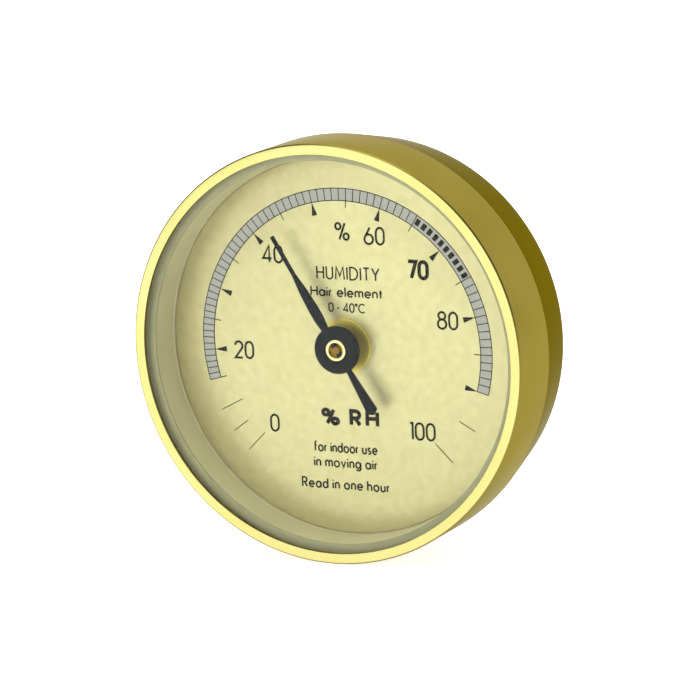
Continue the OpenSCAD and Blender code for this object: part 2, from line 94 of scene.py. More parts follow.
def add(tree: Tree, kind: str, sockets: Optional[dict[Any, Any]] = None, **settings: Any) -> bpy.types.Node:
    """Adds one node to a tree, with its settings, its constants and its links.

    Args:
        tree: the shader or geometry tree that gets the node.
        kind: the node's type name.
        sockets: input name or number to a constant, or to the output socket that feeds it.
        **settings: the node's own properties.

    Returns:
        The new node.
    """
    node = tree.nodes.new(kind)
    for key, value in settings.items():
        setattr(node, key, value)
    for key, value in (sockets or {}).items():
        if isinstance(value, Socket):
            tree.links.new(value, node.inputs[key])
        else:
            node.inputs[key].default_value = value
    return node


def first(tree: Tree, kind: str, sockets: Optional[dict[Any, Any]] = None, **settings: Any) -> Socket:
    """Adds one node as add does, and gives its first output."""
    return add(tree, kind, sockets, **settings).outputs[0]


def remap(tree: Tree, noise: Socket, span: Point, low: float, high: float) -> Socket:
    """Takes the middle span of a noise, 0 to 1, to the range from low to high."""
    ends = {"From Min": span[0], "From Max": span[1], "To Min": low, "To Max": high}
    return first(tree, "ShaderNodeMapRange", {"Value": noise, **ends})


# ---------------------------------------------------------------- finishes


class Grain(Enum):
    """How the fine marks of a surface run."""

    TURNED = "rings left by the lathe tool, round the dial's axis"
    SPECKLE = "fine grain that runs no way, as of paint, casting or moulding"
    DRAWN = "lines along the height, as of drawn wire, rolled strip or hair"


# The part of the noise that swings the gloss, and the part that mixes the colours
MARKS_SPAN = (0.3, 0.7)
PATCHES_SPAN = (0.35, 0.7)
# How much longer than wide the drawn lines are
DRAWN_STRETCH = 25


class Surface:
    """What a piece is finished in. Each kind makes its own shader, and its material is made once."""

    name: str

    def build(self) -> bpy.types.Material:
        """Makes the Blender material, or returns it if it is made already."""
        material = bpy.data.materials.get(self.name)
        if material is None:
            material = bpy.data.materials.new(self.name)
            material.use_nodes = True
            tree = material.node_tree
            tree.nodes.clear()
            add(tree, "ShaderNodeOutputMaterial", {"Surface": self.shader(tree)})
        return material

    def shader(self, tree: Tree) -> Socket:
        """Makes the shader's nodes, and gives the socket of the surface."""
        raise NotImplementedError


@dataclass(frozen=True)
class Finish(Surface):
    """An opaque finish: its colour, gloss and fine grain.

    Attributes:
        name: the real material and its process.
        base: main colour, sRGB hex.
        shade: the colour it varies towards, sRGB hex.
        metallic: 1 for bare metal, 0 for paint, rubber and the like.
        roughness: middle roughness.
        spread: how far the roughness swings either way.
        grain: the way the fine marks run.
        grain_mm: distance from one fine mark to the next.
        depth_um: height of the marks, in thousandths of a millimetre.
        cloud_mm: size of the soft patches of colour.
        cloud: how much of the shade the patches take, 0 to 1.
        coat: weight of a clear lacquer or gloss over it.
        coat_roughness: roughness of that clear coat.
        edge: colour that a metal turns to at a grazing angle, sRGB hex.
        shine: strength of the surface reflection of paint and the like, 0.5 for the usual.
    """

    name: str
    base: str
    shade: str
    metallic: float = 0.0
    roughness: float = 0.5
    spread: float = 0.05
    grain: Grain = Grain.SPECKLE
    grain_mm: float = 0.3
    depth_um: float = 4.0
    cloud_mm: float = 6.0
    cloud: float = 0.4
    coat: float = 0.0
    coat_roughness: float = 0.1
    edge: str = "FFFFFF"
    shine: float = 0.5

    def shader(self, tree: Tree) -> Socket:
        """Makes the shader: its colour lies in patches, and the fine marks drive its gloss and bump."""
        marks, patches = self._patterns(tree)
        colours = {0: patches, 6: linear(self.base), 7: linear(self.shade)}
        sockets = {
            "Base Color": add(tree, "ShaderNodeMix", colours, data_type="RGBA").outputs[2],
            "Metallic": self.metallic,
            "Roughness": remap(tree, marks, MARKS_SPAN, self.roughness - self.spread, self.roughness + self.spread),
            "Normal": first(tree, "ShaderNodeBump", {"Height": marks, "Strength": 1.0, "Distance": self.depth_um * UM}),
            "Specular Tint": linear(self.edge),
            "Specular IOR Level": self.shine,
            "Coat Weight": self.coat,
            "Coat Roughness": self.coat_roughness,
        }
        return first(tree, "ShaderNodeBsdfPrincipled", sockets)

    def _patterns(self, tree: Tree) -> tuple[Socket, Socket]:
        """Makes the two patterns that the finish is built on.

        Args:
            tree: the material's tree.

        Returns:
            The socket of the fine marks, and the socket of the soft patches.
        """
        place = add(tree, "ShaderNodeTexCoord").outputs["Object"]
        along = in_mm = first(tree, "ShaderNodeVectorMath", {0: place, 3: 1 / MM}, operation="SCALE")
        x, y, z = add(tree, "ShaderNodeSeparateXYZ", {0: in_mm}).outputs
        if self.grain is Grain.TURNED:
            flat = first(tree, "ShaderNodeCombineXYZ", {"X": x, "Z": z})
            radius = add(tree, "ShaderNodeVectorMath", {0: flat}, operation="LENGTH").outputs["Value"]
            along = first(tree, "ShaderNodeCombineXYZ", {"X": radius, "Y": y})
        elif self.grain is Grain.DRAWN:
            slow = first(tree, "ShaderNodeMath", {0: z, 1: 1 / DRAWN_STRETCH}, operation="MULTIPLY")
            along = first(tree, "ShaderNodeCombineXYZ", {"X": x, "Y": y, "Z": slow})
        marks = first(tree, "ShaderNodeTexNoise", {"Vector": along, "Scale": 1 / self.grain_mm, "Detail": 2.0})
        patches = first(tree, "ShaderNodeTexNoise", {"Vector": in_mm, "Scale": 1 / self.cloud_mm, "Detail": 3.0})
        return marks, remap(tree, patches, PATCHES_SPAN, 0.0, self.cloud)


@dataclass(frozen=True)
class PaneFinish(Surface):
    """Float glass, cut and polished: clear, with a faint tint, and the lamps shine through it.

    Attributes:
        name: the real material and its process.
        tint: colour of the light that gets through, sRGB hex.
        ior: index of refraction; a little low, as the glass has an anti-glare coating.
    """

    name: str = "float_glass_polished"
    tint: str = "FCFEF9"
    ior: float = 1.22

    def shader(self, tree: Tree) -> Socket:
        """Makes clear glass, which a lamp's light passes straight through."""
        glass = {"Base Color": linear(self.tint), "Roughness": 0.0, "IOR": self.ior, "Transmission Weight": 1.0}
        pane = first(tree, "ShaderNodeBsdfPrincipled", glass)
        clear = first(tree, "ShaderNodeBsdfTransparent", {"Color": linear(self.tint)})
        to_lamp = add(tree, "ShaderNodeLightPath").outputs["Is Shadow Ray"]
        return first(tree, "ShaderNodeMixShader", {0: to_lamp, 1: pane, 2: clear})


# Turned and polished brass under a clear lacquer, with fine tool rings: the lit copy of the case brass, painted a
# bright pale yellow for the light on the ring's front face
LIT_RING_BRASS = Finish(
    "brass_turned_lit_copy", "DBD187", "CEC36E", 1.0, 0.27, 0.07, Grain.TURNED, 0.16, 1.2, 14.0, 0.5, 0.15, 0.12
)
# The same brass on the barrel: the shaded copy, painted darker for the shade on the barrel, and pale only at a grazing
# angle
BARREL_SHADE_BRASS = Finish(
    "brass_turned_shaded_copy", "897C3D", "7F7232", 1.0, 0.36, 0.04, Grain.TURNED, 0.3, 0.6, 16.0, 0.6, edge="D8D0B0"
)
# Spun brass of the rear case, lacquered, less finely turned than the front
SPUN_BRASS = Finish(
    "brass_spun_lacquered", "746928", "6A6020", 1.0, 0.34, 0.05, Grain.TURNED, 0.5, 1.5, 12.0, 0.6, edge="AAA26C"
)
# Nitrile rubber cord, cut flat: dull, with a faint moulded grain
SEAL_RUBBER = Finish("nitrile_rubber_moulded", "AFAB84", "A29F78", 0.0, 0.6, 0.05, Grain.SPECKLE, 0.25, 5.0, 3.0, 0.5)
# Rolled strip painted in the dial's cream, satin
SPACER_PAINT = Finish(
    "steel_strip_cream_paint", "DCD6AE", "CDC79F", 0.0, 0.42, 0.05, Grain.SPECKLE, 0.35, 3.0, 8.0, 0.5
)
# Lacquer that ran into the joint of spacer and dial and browned there
OLD_LACQUER = Finish("lacquer_aged_brown", "B3A473", "9A8B5C", 0.0, 0.6, 0.05, Grain.SPECKLE, 0.3, 3.0, 4.0, 0.8)
# Champagne paint with metal flakes, sprayed on the dial: it mirrors the pointer and the wall as soft dark clouds,
# and it has a fine grain like paper
DIAL_SATIN = Finish(
    "champagne_metallic_paint_sprayed", "D3CC9C", "C6BE8C", 0.62, 0.36, 0.05, Grain.SPECKLE, 0.45, 12.0, 1.6, 0.8
)
# Pad-printed ink, almost black brown
PRINT_INK = Finish(
    "ink_dark_brown_pad_printed", "140D04", "1B1307", 0.0, 0.5, 0.05, Grain.SPECKLE, 0.2, 1.0, 1.0, 0.6, shine=0.1
)
# Pad-printed grey ink of the scale's band
BAND_INK = Finish("ink_grey_pad_printed", "B2B1AE", "AAAAA6", 0.0, 0.5, 0.05, Grain.SPECKLE, 0.2, 1.0, 2.0, 0.6)
# Turned brass of the dial's boss, polished and clear
BOSS_BRASS = Finish("brass_turned_polished", "E8D56E", "D6C256", 1.0, 0.48, 0.06, Grain.TURNED, 0.12, 1.0, 3.0, 0.5)
# Bright turned brass of the pointer's collet
COLLET_BRASS = Finish("brass_turned_bright", "F2E2A0", "E6D184", 1.0, 0.2, 0.06, Grain.TURNED, 0.1, 1.0, 2.0, 0.5)
# The collet's cup, left as drilled, and the arbor's end in it: painted dark brown for the shade inside the cup
CUP_SHADE_BRASS = Finish("brass_drilled_painted_shade", "8E6F2A", "6E5318", 1.0, 0.42, 0.08, Grain.TURNED, 0.12, 2.0, 1.0, 0.6)
# Blue-black stoving enamel on the pointer
POINTER_ENAMEL = Finish(
    "black_enamel_stoved", "070B11", "0B1118", 0.0, 0.4, 0.06, Grain.SPECKLE, 0.25, 0.25, 2.0, 0.6, shine=0.1
)
# Stamped brass sheet of the movement, grained one way
MOVEMENT_BRASS = Finish("brass_sheet_stamped", "C2A552", "A98B3C", 1.0, 0.34, 0.08, Grain.DRAWN, 0.15, 2.0, 5.0, 0.6)
# Turned and hardened steel of arbors, pins and screws
TURNED_STEEL = Finish("steel_turned_hardened", "A9A7A3", "8E8C88", 1.0, 0.26, 0.06, Grain.DRAWN, 0.1, 1.0, 3.0, 0.5)
# Rolled bronze strip of the hairspring
SPRING_BRONZE = Finish("phosphor_bronze_rolled", "B0793F", "9A6530", 1.0, 0.3, 0.06, Grain.DRAWN, 0.1, 1.0, 3.0, 0.5)
# Pressed aluminium of the hair's clips
CLIP_ALUMINIUM = Finish("aluminium_pressed", "C9CACB", "B4B6B8", 1.0, 0.38, 0.07, Grain.SPECKLE, 0.2, 2.0, 3.0, 0.5)
# Treated hair, degreased: warm brown, with light along each strand
HAIR_STRAND = Finish("hair_degreased", "7A5230", "5C3A1F", 0.0, 0.42, 0.08, Grain.DRAWN, 0.08, 1.0, 1.0, 0.9)
PANE = PaneFinish()


# ---------------------------------------------------------------- meshes


def upright(u: float, v: float, w: float) -> Vector:
    """Turns a place on the dial, in millimetres, to the frame's metres."""
    return Vector((u, -w, v)) * MM


def on_circle(angle: float, radius: float) -> Point:
    """The point at an angle clockwise from the top, in degrees, and a radius."""
    return radius * math.sin(math.radians(angle)), radius * math.cos(math.radians(angle))


def arc(x: float, y: float, radius: float, turns: range) -> list[Point]:
    """Points round the middle (x, y), at whole degrees anticlockwise from the right."""
    return [(x + radius * math.cos(a), y + radius * math.sin(a)) for a in map(math.radians, turns)]


def spun(x: float, y: float, degrees: float) -> Point:
    """Turns a place clockwise round the dial's middle."""
    a = math.radians(degrees)
    return x * math.cos(a) + y * math.sin(a), y * math.cos(a) - x * math.sin(a)


def as_mesh(work: bmesh.types.BMesh, name: str) -> Mesh:
    """Writes the work out as a new mesh, and frees it."""
    mesh = bpy.data.meshes.new(name)
    work.to_mesh(mesh)
    work.free()
    return mesh


def as_object(name: str, mesh: Mesh, finishes: Sequence[Any]) -> Piece:
    """Puts a mesh in the scene as an object with its finishes.

    Args:
        name: the piece's name.
        mesh: its mesh, already in its place.
        finishes: the finishes, in the order of the mesh's material numbers.

    Returns:
        The object, which stands at the origin.
    """
    mesh.name = name
    numbers = [face.material_index for face in mesh.polygons]
    mesh.materials.clear()
    for finish in finishes:
        mesh.materials.append(finish.build())
    mesh.polygons.foreach_set("material_index", numbers)
    piece = bpy.data.objects.new(name, mesh)
    bpy.context.scene.collection.objects.link(piece)
    return piece


def tidy(mesh: Mesh, smooth: bool = True) -> Mesh:
    """Merges doubles, turns faces outwards, and shades smooth between soft edges.

    Args:
        mesh: the mesh to put in order.
        smooth: whether soft edges are shaded smooth.

    Returns:
        The same mesh.
    """
    work = bmesh.new()
    work.from_mesh(mesh)
    bmesh.ops.remove_doubles(work, verts=work.verts, dist=MERGE_UNDER)
    bmesh.ops.recalc_face_normals(work, faces=work.faces)
    work.to_mesh(mesh)
    work.free()
    mesh.polygons.foreach_set("use_smooth", [smooth] * len(mesh.polygons))
    if smooth:
        mesh.set_sharp_from_angle(angle=SMOOTH_UNDER)
    mesh.update()
    return mesh


def rounded(corners: Sequence[Corner]) -> list[Point]:
    """Rounds the corners of a closed outline.

    Args:
        corners: each corner's two coordinates and its radius, 0 for a sharp one.

    Returns:
        The outline's points in order.
    """
    steps, flattest, most_of_side = 3, 0.05, 0.45
    out: list[Point] = []
    for i, (x, y, radius) in enumerate(corners):
        here = Vector((x, y))
        if radius <= 0:
            out.append((x, y))
            continue
        before = Vector(corners[i - 1][:2]) - here
        after = Vector(corners[(i + 1) % len(corners)][:2]) - here
        reach = radius / max(math.tan(before.angle(after) / 2), flattest)
        reach = min(reach, most_of_side * min(before.length, after.length))
        a, b = here + before.normalized() * reach, here + after.normalized() * reach
        for t in (k / steps for k in range(steps + 1)):
            p = a * (1 - t) ** 2 + here * 2 * t * (1 - t) + b * t * t
            out.append((p.x, p.y))
    return out


def lathe(outline: Sequence[Point], number: Optional[Callable[[float, float], int]] = None) -> Mesh:
    """Turns a closed outline round the dial's axis.

    Args:
        outline: (radius, w) points of the section, in millimetres.
        number: gives the material number of a face from its middle radius and w.

    Returns:
        The closed mesh, in its place.
    """
    work = bmesh.new()
    rings: list[list[bmesh.types.BMVert]] = []
    for radius, w in outline:
        if radius < TINY:
            rings.append([work.verts.new(upright(0, 0, w))] * LATHE_STEPS)
            continue
        places = (on_circle(360 * k / LATHE_STEPS, radius) for k in range(LATHE_STEPS))
        rings.append([work.verts.new(upright(*place, w)) for place in places])
    for i, here in enumerate(rings):
        other = rings[(i + 1) % len(rings)]
        middle = [(a + b) / 2 for a, b in zip(outline[i], outline[(i + 1) % len(outline)])]
        for k in range(LATHE_STEPS):
            n = (k + 1) % LATHE_STEPS
            corners = list(dict.fromkeys((here[k], here[n], other[n], other[k])))
            if len(corners) > 2:
                face = work.faces.new(corners)
                face.material_index = number(*middle) if number else 0
    return tidy(as_mesh(work, "lathe"))


def turned_part(name: str, corners: Sequence[Corner], finishes: Sequence[Any], number: Any = None) -> Piece:
    """Rounds a section's corners, turns it, and puts it in the scene; see rounded, lathe and as_object."""
    return as_object(name, lathe(rounded(corners), number), finishes)


def without_poles(mesh: Mesh) -> Mesh:
    """Makes each flat end of a turned mesh one face, which can be cut cleanly."""
    work = bmesh.new()
    work.from_mesh(mesh)
    poles = [point for point in work.verts if math.hypot(point.co.x, point.co.z) < TINY]
    bmesh.ops.dissolve_verts(work, verts=poles)
    work.to_mesh(mesh)
    work.free()
    return mesh


def prism(outline: Sequence[Point], low: float, high: float) -> Mesh:
    """Makes a flat closed solid from an outline on the dial.

    Args:
        outline: (u, v) points in order, in millimetres.
        low: w of the rear face.
        high: w of the front face.

    Returns:
        The mesh, in its place.
    """
    work = bmesh.new()
    rear = [work.verts.new(upright(u, v, low)) for u, v in outline]
    front = [work.verts.new(upright(u, v, high)) for u, v in outline]
    work.faces.new(rear)
    work.faces.new(front)
    for i in range(len(outline)):
        n = (i + 1) % len(outline)
        work.faces.new((rear[i], rear[n], front[n], front[i]))
    return tidy(as_mesh(work, "prism"))


def joined(meshes: Sequence[Mesh]) -> Mesh:
    """Puts several meshes into one, and removes the single ones."""
    work = bmesh.new()
    for mesh in meshes:
        work.from_mesh(mesh)
    out = as_mesh(work, "joined")
    for mesh in meshes:
        bpy.data.meshes.remove(mesh)
    out.polygons.foreach_set("use_smooth", [True] * len(out.polygons))
    out.set_sharp_from_angle(angle=SMOOTH_UNDER)
    return out


def bevelled(mesh: Mesh, width: float) -> Mesh:
    """Bevels a mesh's sharp edges.

    Args:
        mesh: the mesh to finish.
        width: width of the bevel, in millimetres.

    Returns:
        A new plain mesh; the old one is removed.
    """
    host = bpy.data.objects.new("bevel_host", mesh)
    bpy.context.scene.collection.objects.link(host)
    modifier = host.modifiers.new("edge", "BEVEL")
    modifier.width, modifier.segments, modifier.limit_method = width * MM, 2, "ANGLE"
    modifier.angle_limit = BEVEL_OVER
    return _applied(host)


def _applied(host: Piece) -> Mesh:
    """Turns an object with modifiers to a plain mesh, and removes the object.

    Args:
        host: the object, already in the scene.

    Returns:
        Its evaluated mesh, put in order.
    """
    bpy.context.view_layer.update()
    graph = bpy.context.evaluated_depsgraph_get()
    mesh = bpy.data.meshes.new_from_object(host.evaluated_get(graph), depsgraph=graph)
    old = host.data
    bpy.data.objects.remove(host)
    if isinstance(old, Mesh):
        bpy.data.meshes.remove(old)
    return tidy(mesh)


# ---------------------------------------------------------------- geometry trees


class SizeKind(Enum):
    """The kinds of input that a geometry tree takes."""

    LENGTH = "NodeSocketFloat"
    COUNT = "NodeSocketInt"
    THING = "NodeSocketObject"
    PAINT = "NodeSocketMaterial"


def inputs(*lengths: str, **others: SizeKind) -> dict[str, SizeKind]:
    """Lists a tree's inputs: the lengths by name, and the others each with its kind."""
    return {**dict.fromkeys(lengths, SizeKind.LENGTH), **others}


@dataclass
class GrowingTree:
    """A geometry tree with named inputs, which grows into a plain mesh.

    Attributes:
        name: the tree's name.
        sizes: each input's name and kind.
    """

    name: str
    sizes: dict[str, SizeKind]
    tree: Tree = field(init=False)
    given: bpy.types.Node = field(init=False)

    def __post_init__(self) -> None:
        """Makes the empty tree, its inputs and its group input node."""
        self.tree = bpy.data.node_groups.new(self.name, "GeometryNodeTree")
        face = self.tree.interface
        face.new_socket("Geometry", in_out="INPUT", socket_type="NodeSocketGeometry")
        for name, kind in {**self.sizes, "Paint": SizeKind.PAINT}.items():
            face.new_socket(name, in_out="INPUT", socket_type=kind.value)
        face.new_socket("Geometry", in_out="OUTPUT", socket_type="NodeSocketGeometry")
        self.given = add(self.tree, "NodeGroupInput")

    def size(self, name: str) -> Socket:
        """The socket that carries a named input."""
        return self.given.outputs[name]

    def node(self, kind: str, sockets: Optional[dict[Any, Any]] = None, **settings: Any) -> Socket:
        """Adds one node to the tree, and gives its first output."""
        return first(self.tree, kind, sockets, **settings)

    def math(self, operation: str, *values: Any) -> Socket:
        """The result of one sum on sockets or numbers."""
        return self.node("ShaderNodeMath", dict(enumerate(values)), operation=operation)

    def vector(self, x: Any = 0.0, y: Any = 0.0, z: Any = 0.0) -> Socket:
        """A vector made of sockets or numbers."""
        return self.node("ShaderNodeCombineXYZ", {"X": x, "Y": y, "Z": z})

    def repeated(self, shape: Socket, turn: Socket, place: Any = (0.0, 0.0, 0.0)) -> Socket:
        """Repeats a shape as many times as Count says.

        Args:
            shape: the socket of the geometry.
            turn: the socket of each one's rotation.
            place: the socket of each one's place, or one place for all.

        Returns:
            The socket of the instances.
        """
        points = self.node("GeometryNodePoints", {"Count": self.size("Count"), "Position": place})
        return self.node("GeometryNodeInstanceOnPoints", {"Points": points, "Instance": shape, "Rotation": turn})

    def end(self, geometry: Socket) -> None:
        """Ends the tree: real geometry, in the given paint."""
        real = self.node("GeometryNodeRealizeInstances", {0: geometry})
        painted = self.node("GeometryNodeSetMaterial", {"Geometry": real, "Material": self.size("Paint")})
        add(self.tree, "NodeGroupOutput", {0: painted})

    def grow(self, values: dict[str, Any], finish: Any, start: Optional[Mesh] = None) -> Mesh:
        """Runs the tree once.

        Args:
            values: each input's value, in metres, degrees or counts.
            finish: the finish that the result takes.
            start: the mesh it begins with, or none.

        Returns:
            A plain mesh.
        """
        host = bpy.data.objects.new(self.name, start or bpy.data.meshes.new(self.name))
        modifier = host.modifiers.new(self.name, "NODES")
        modifier.node_group = self.tree
        values = {**values, "Paint": finish.build()}
        for item in self.tree.interface.items_tree:
            if item.in_out == "INPUT" and item.name in values:
                modifier[item.identifier] = values[item.name]
        bpy.context.scene.collection.objects.link(host)
        return _applied(host)


def mark_tree() -> GrowingTree:
    """Makes the tree that sets marks along the humidity scale.

    The angle of a value follows the hair's law: even above 40 %, and closer and closer together below it.

    Returns:
        The tree. A mark is a bar along the radius, which may narrow outwards to a point.
    """
    lengths = "First", "Step", "Middle value", "Middle angle", "Degrees each", "Crowding", "Crowds below"
    shape = "Inner radius", "Length", "Width", "Narrowing", "Depth", "Thickness"
    grow = GrowingTree("scale_marks", inputs(*lengths, *shape, Count=SizeKind.COUNT))
    size, sum_of = grow.size, grow.math
    value = sum_of("MULTIPLY_ADD", grow.node("GeometryNodeInputIndex"), size("Step"), size("First"))
    short = sum_of("MAXIMUM", sum_of("SUBTRACT", size("Crowds below"), value), 0.0)
    past = sum_of("SUBTRACT", value, size("Middle value"))
    even = sum_of("MULTIPLY_ADD", past, size("Degrees each"), size("Middle angle"))
    angle = sum_of("RADIANS", sum_of("MULTIPLY_ADD", sum_of("MULTIPLY", short, short), size("Crowding"), even))
    radius = sum_of("MULTIPLY_ADD", size("Length"), 0.5, size("Inner radius"))
    height = sum_of("MULTIPLY", sum_of("MULTIPLY_ADD", size("Thickness"), 0.5, size("Depth")), -1.0)
    across, up = (sum_of("MULTIPLY", sum_of(side, angle), radius) for side in ("SINE", "COSINE"))
    box = grow.vector(size("Width"), size("Thickness"), size("Length"))
    bar = grow.node("GeometryNodeMeshCube", {"Size": box})
    x, y, z = add(grow.tree, "ShaderNodeSeparateXYZ", {0: grow.node("GeometryNodeInputPosition")}).outputs
    out = sum_of("ADD", sum_of("DIVIDE", z, size("Length")), 0.5)
    keep = sum_of("SUBTRACT", 1.0, sum_of("MULTIPLY", out, size("Narrowing")))
    slim = grow.vector(sum_of("MULTIPLY", x, keep), y, z)
    bar = grow.node("GeometryNodeSetPosition", {"Geometry": bar, "Position": slim})
    grow.end(grow.repeated(bar, grow.vector(y=angle), grow.vector(across, height, up)))
    return grow


def slot_tree() -> GrowingTree:
    """Makes the tree that cuts one shape through a plate again and again, round the dial's axis."""
    grow = GrowingTree("ring_of_slots", inputs("First angle", Count=SizeKind.COUNT, Cutter=SizeKind.THING))
    size = grow.size
    step = grow.math("DIVIDE", math.tau, size("Count"))
    start = grow.math("RADIANS", size("First angle"))
    angle = grow.math("MULTIPLY_ADD", grow.node("GeometryNodeInputIndex"), step, start)
    cutter = add(grow.tree, "GeometryNodeObjectInfo", {"Object": size("Cutter")}, transform_space="ORIGINAL")
    cutters = grow.repeated(cutter.outputs["Geometry"], grow.vector(y=angle))
    real = grow.node("GeometryNodeRealizeInstances", {0: cutters})
    both = {"Mesh 1": size("Geometry"), "Mesh 2": real}
    grow.end(grow.node("GeometryNodeMeshBoolean", both, operation="DIFFERENCE"))
    return grow


def strand_tree() -> GrowingTree:
    """Makes the tree that lays fine hairs side by side down a bundle."""
    lengths = "Across", "Depth", "Top", "Bottom", "Bundle radius", "Strand radius"
    grow = GrowingTree("hair_strands", inputs(*lengths, Count=SizeKind.COUNT, Seed=SizeKind.COUNT))
    tree, size, sum_of = grow.tree, grow.size, grow.math
    ends = {"Start": grow.vector(z=size("Bottom")), "End": grow.vector(z=size("Top"))}
    line = grow.node("GeometryNodeCurvePrimitiveLine", ends)
    joints, sides = 9, 5
    fine = grow.node("GeometryNodeResampleCurve", {"Curve": line, "Count": joints})
    index = grow.node("GeometryNodeInputIndex")
    share = sum_of("DIVIDE", sum_of("ADD", index, 0.5), size("Count"))
    reach = sum_of("MULTIPLY", sum_of("SQRT", share), size("Bundle radius"))
    angle = sum_of("MULTIPLY", index, GOLDEN_ANGLE)
    across, deep = (
        sum_of("ADD", sum_of("MULTIPLY", sum_of(side, angle), reach), size(middle))
        for side, middle in (("COSINE", "Across"), ("SINE", "Depth"))
    )
    spin = add(tree, "FunctionNodeRandomValue", {2: 0.0, 3: math.tau, "Seed": size("Seed")}, data_type="FLOAT")
    hairs = grow.repeated(fine, grow.vector(z=spin.outputs[1]), grow.vector(across, deep))
    loose = grow.node("GeometryNodeRealizeInstances", {0: hairs})
    section = grow.node("GeometryNodeCurvePrimitiveCircle", {"Resolution": sides, "Radius": size("Strand radius")})
    grow.end(grow.node("GeometryNodeCurveToMesh", {"Curve": loose, "Profile Curve": section, "Fill Caps": True}))
    return grow


# ---------------------------------------------------------------- lettering


def bow(cx: float, cy: float, rx: float, ry: float, start: float, stop: float, steps: int = 18) -> Stroke:
    """Points along an arc of an ellipse.

    Args:
        cx: middle, across.
        cy: middle, up.
        rx: half width.
        ry: half height.
        start: first angle in degrees, anticlockwise from the right.
        stop: last angle.
        steps: straight pieces.

    Returns:
        The points in order.
    """
    turns = [math.radians(start + (stop - start) * k / steps) for k in range(steps + 1)]
    return [(cx + rx * math.cos(t), cy + ry * math.sin(t)) for t in turns]


@dataclass(frozen=True)
class Glyph:
    """One letter or numeral: its strokes, its width, and whether each stroke closes on itself."""

    width: float
    strokes: tuple[tuple[tuple[Point, ...], bool], ...]


def glyph(width: float, *strokes: Stroke, loops: Sequence[int] = ()) -> Glyph:
    """Puts strokes together as a glyph; loops names those that close on themselves."""
    return Glyph(width, tuple((tuple(s), i in loops) for i, s in enumerate(strokes)))


def ring(cx: float, cy: float, rx: float, ry: float) -> Stroke:
    """A closed ellipse, without the repeated last point."""
    return bow(cx, cy, rx, ry, 0, 360, 28)[:-1]


def tall_oval(cx: float, width: float) -> Stroke:
    """The narrow nought: two bows joined by short straight sides."""
    half = width / 2
    return bow(cx, 0.68, half, 0.32, 0, 180, 14) + bow(cx, 0.32, half, 0.32, 180, 360, 14)


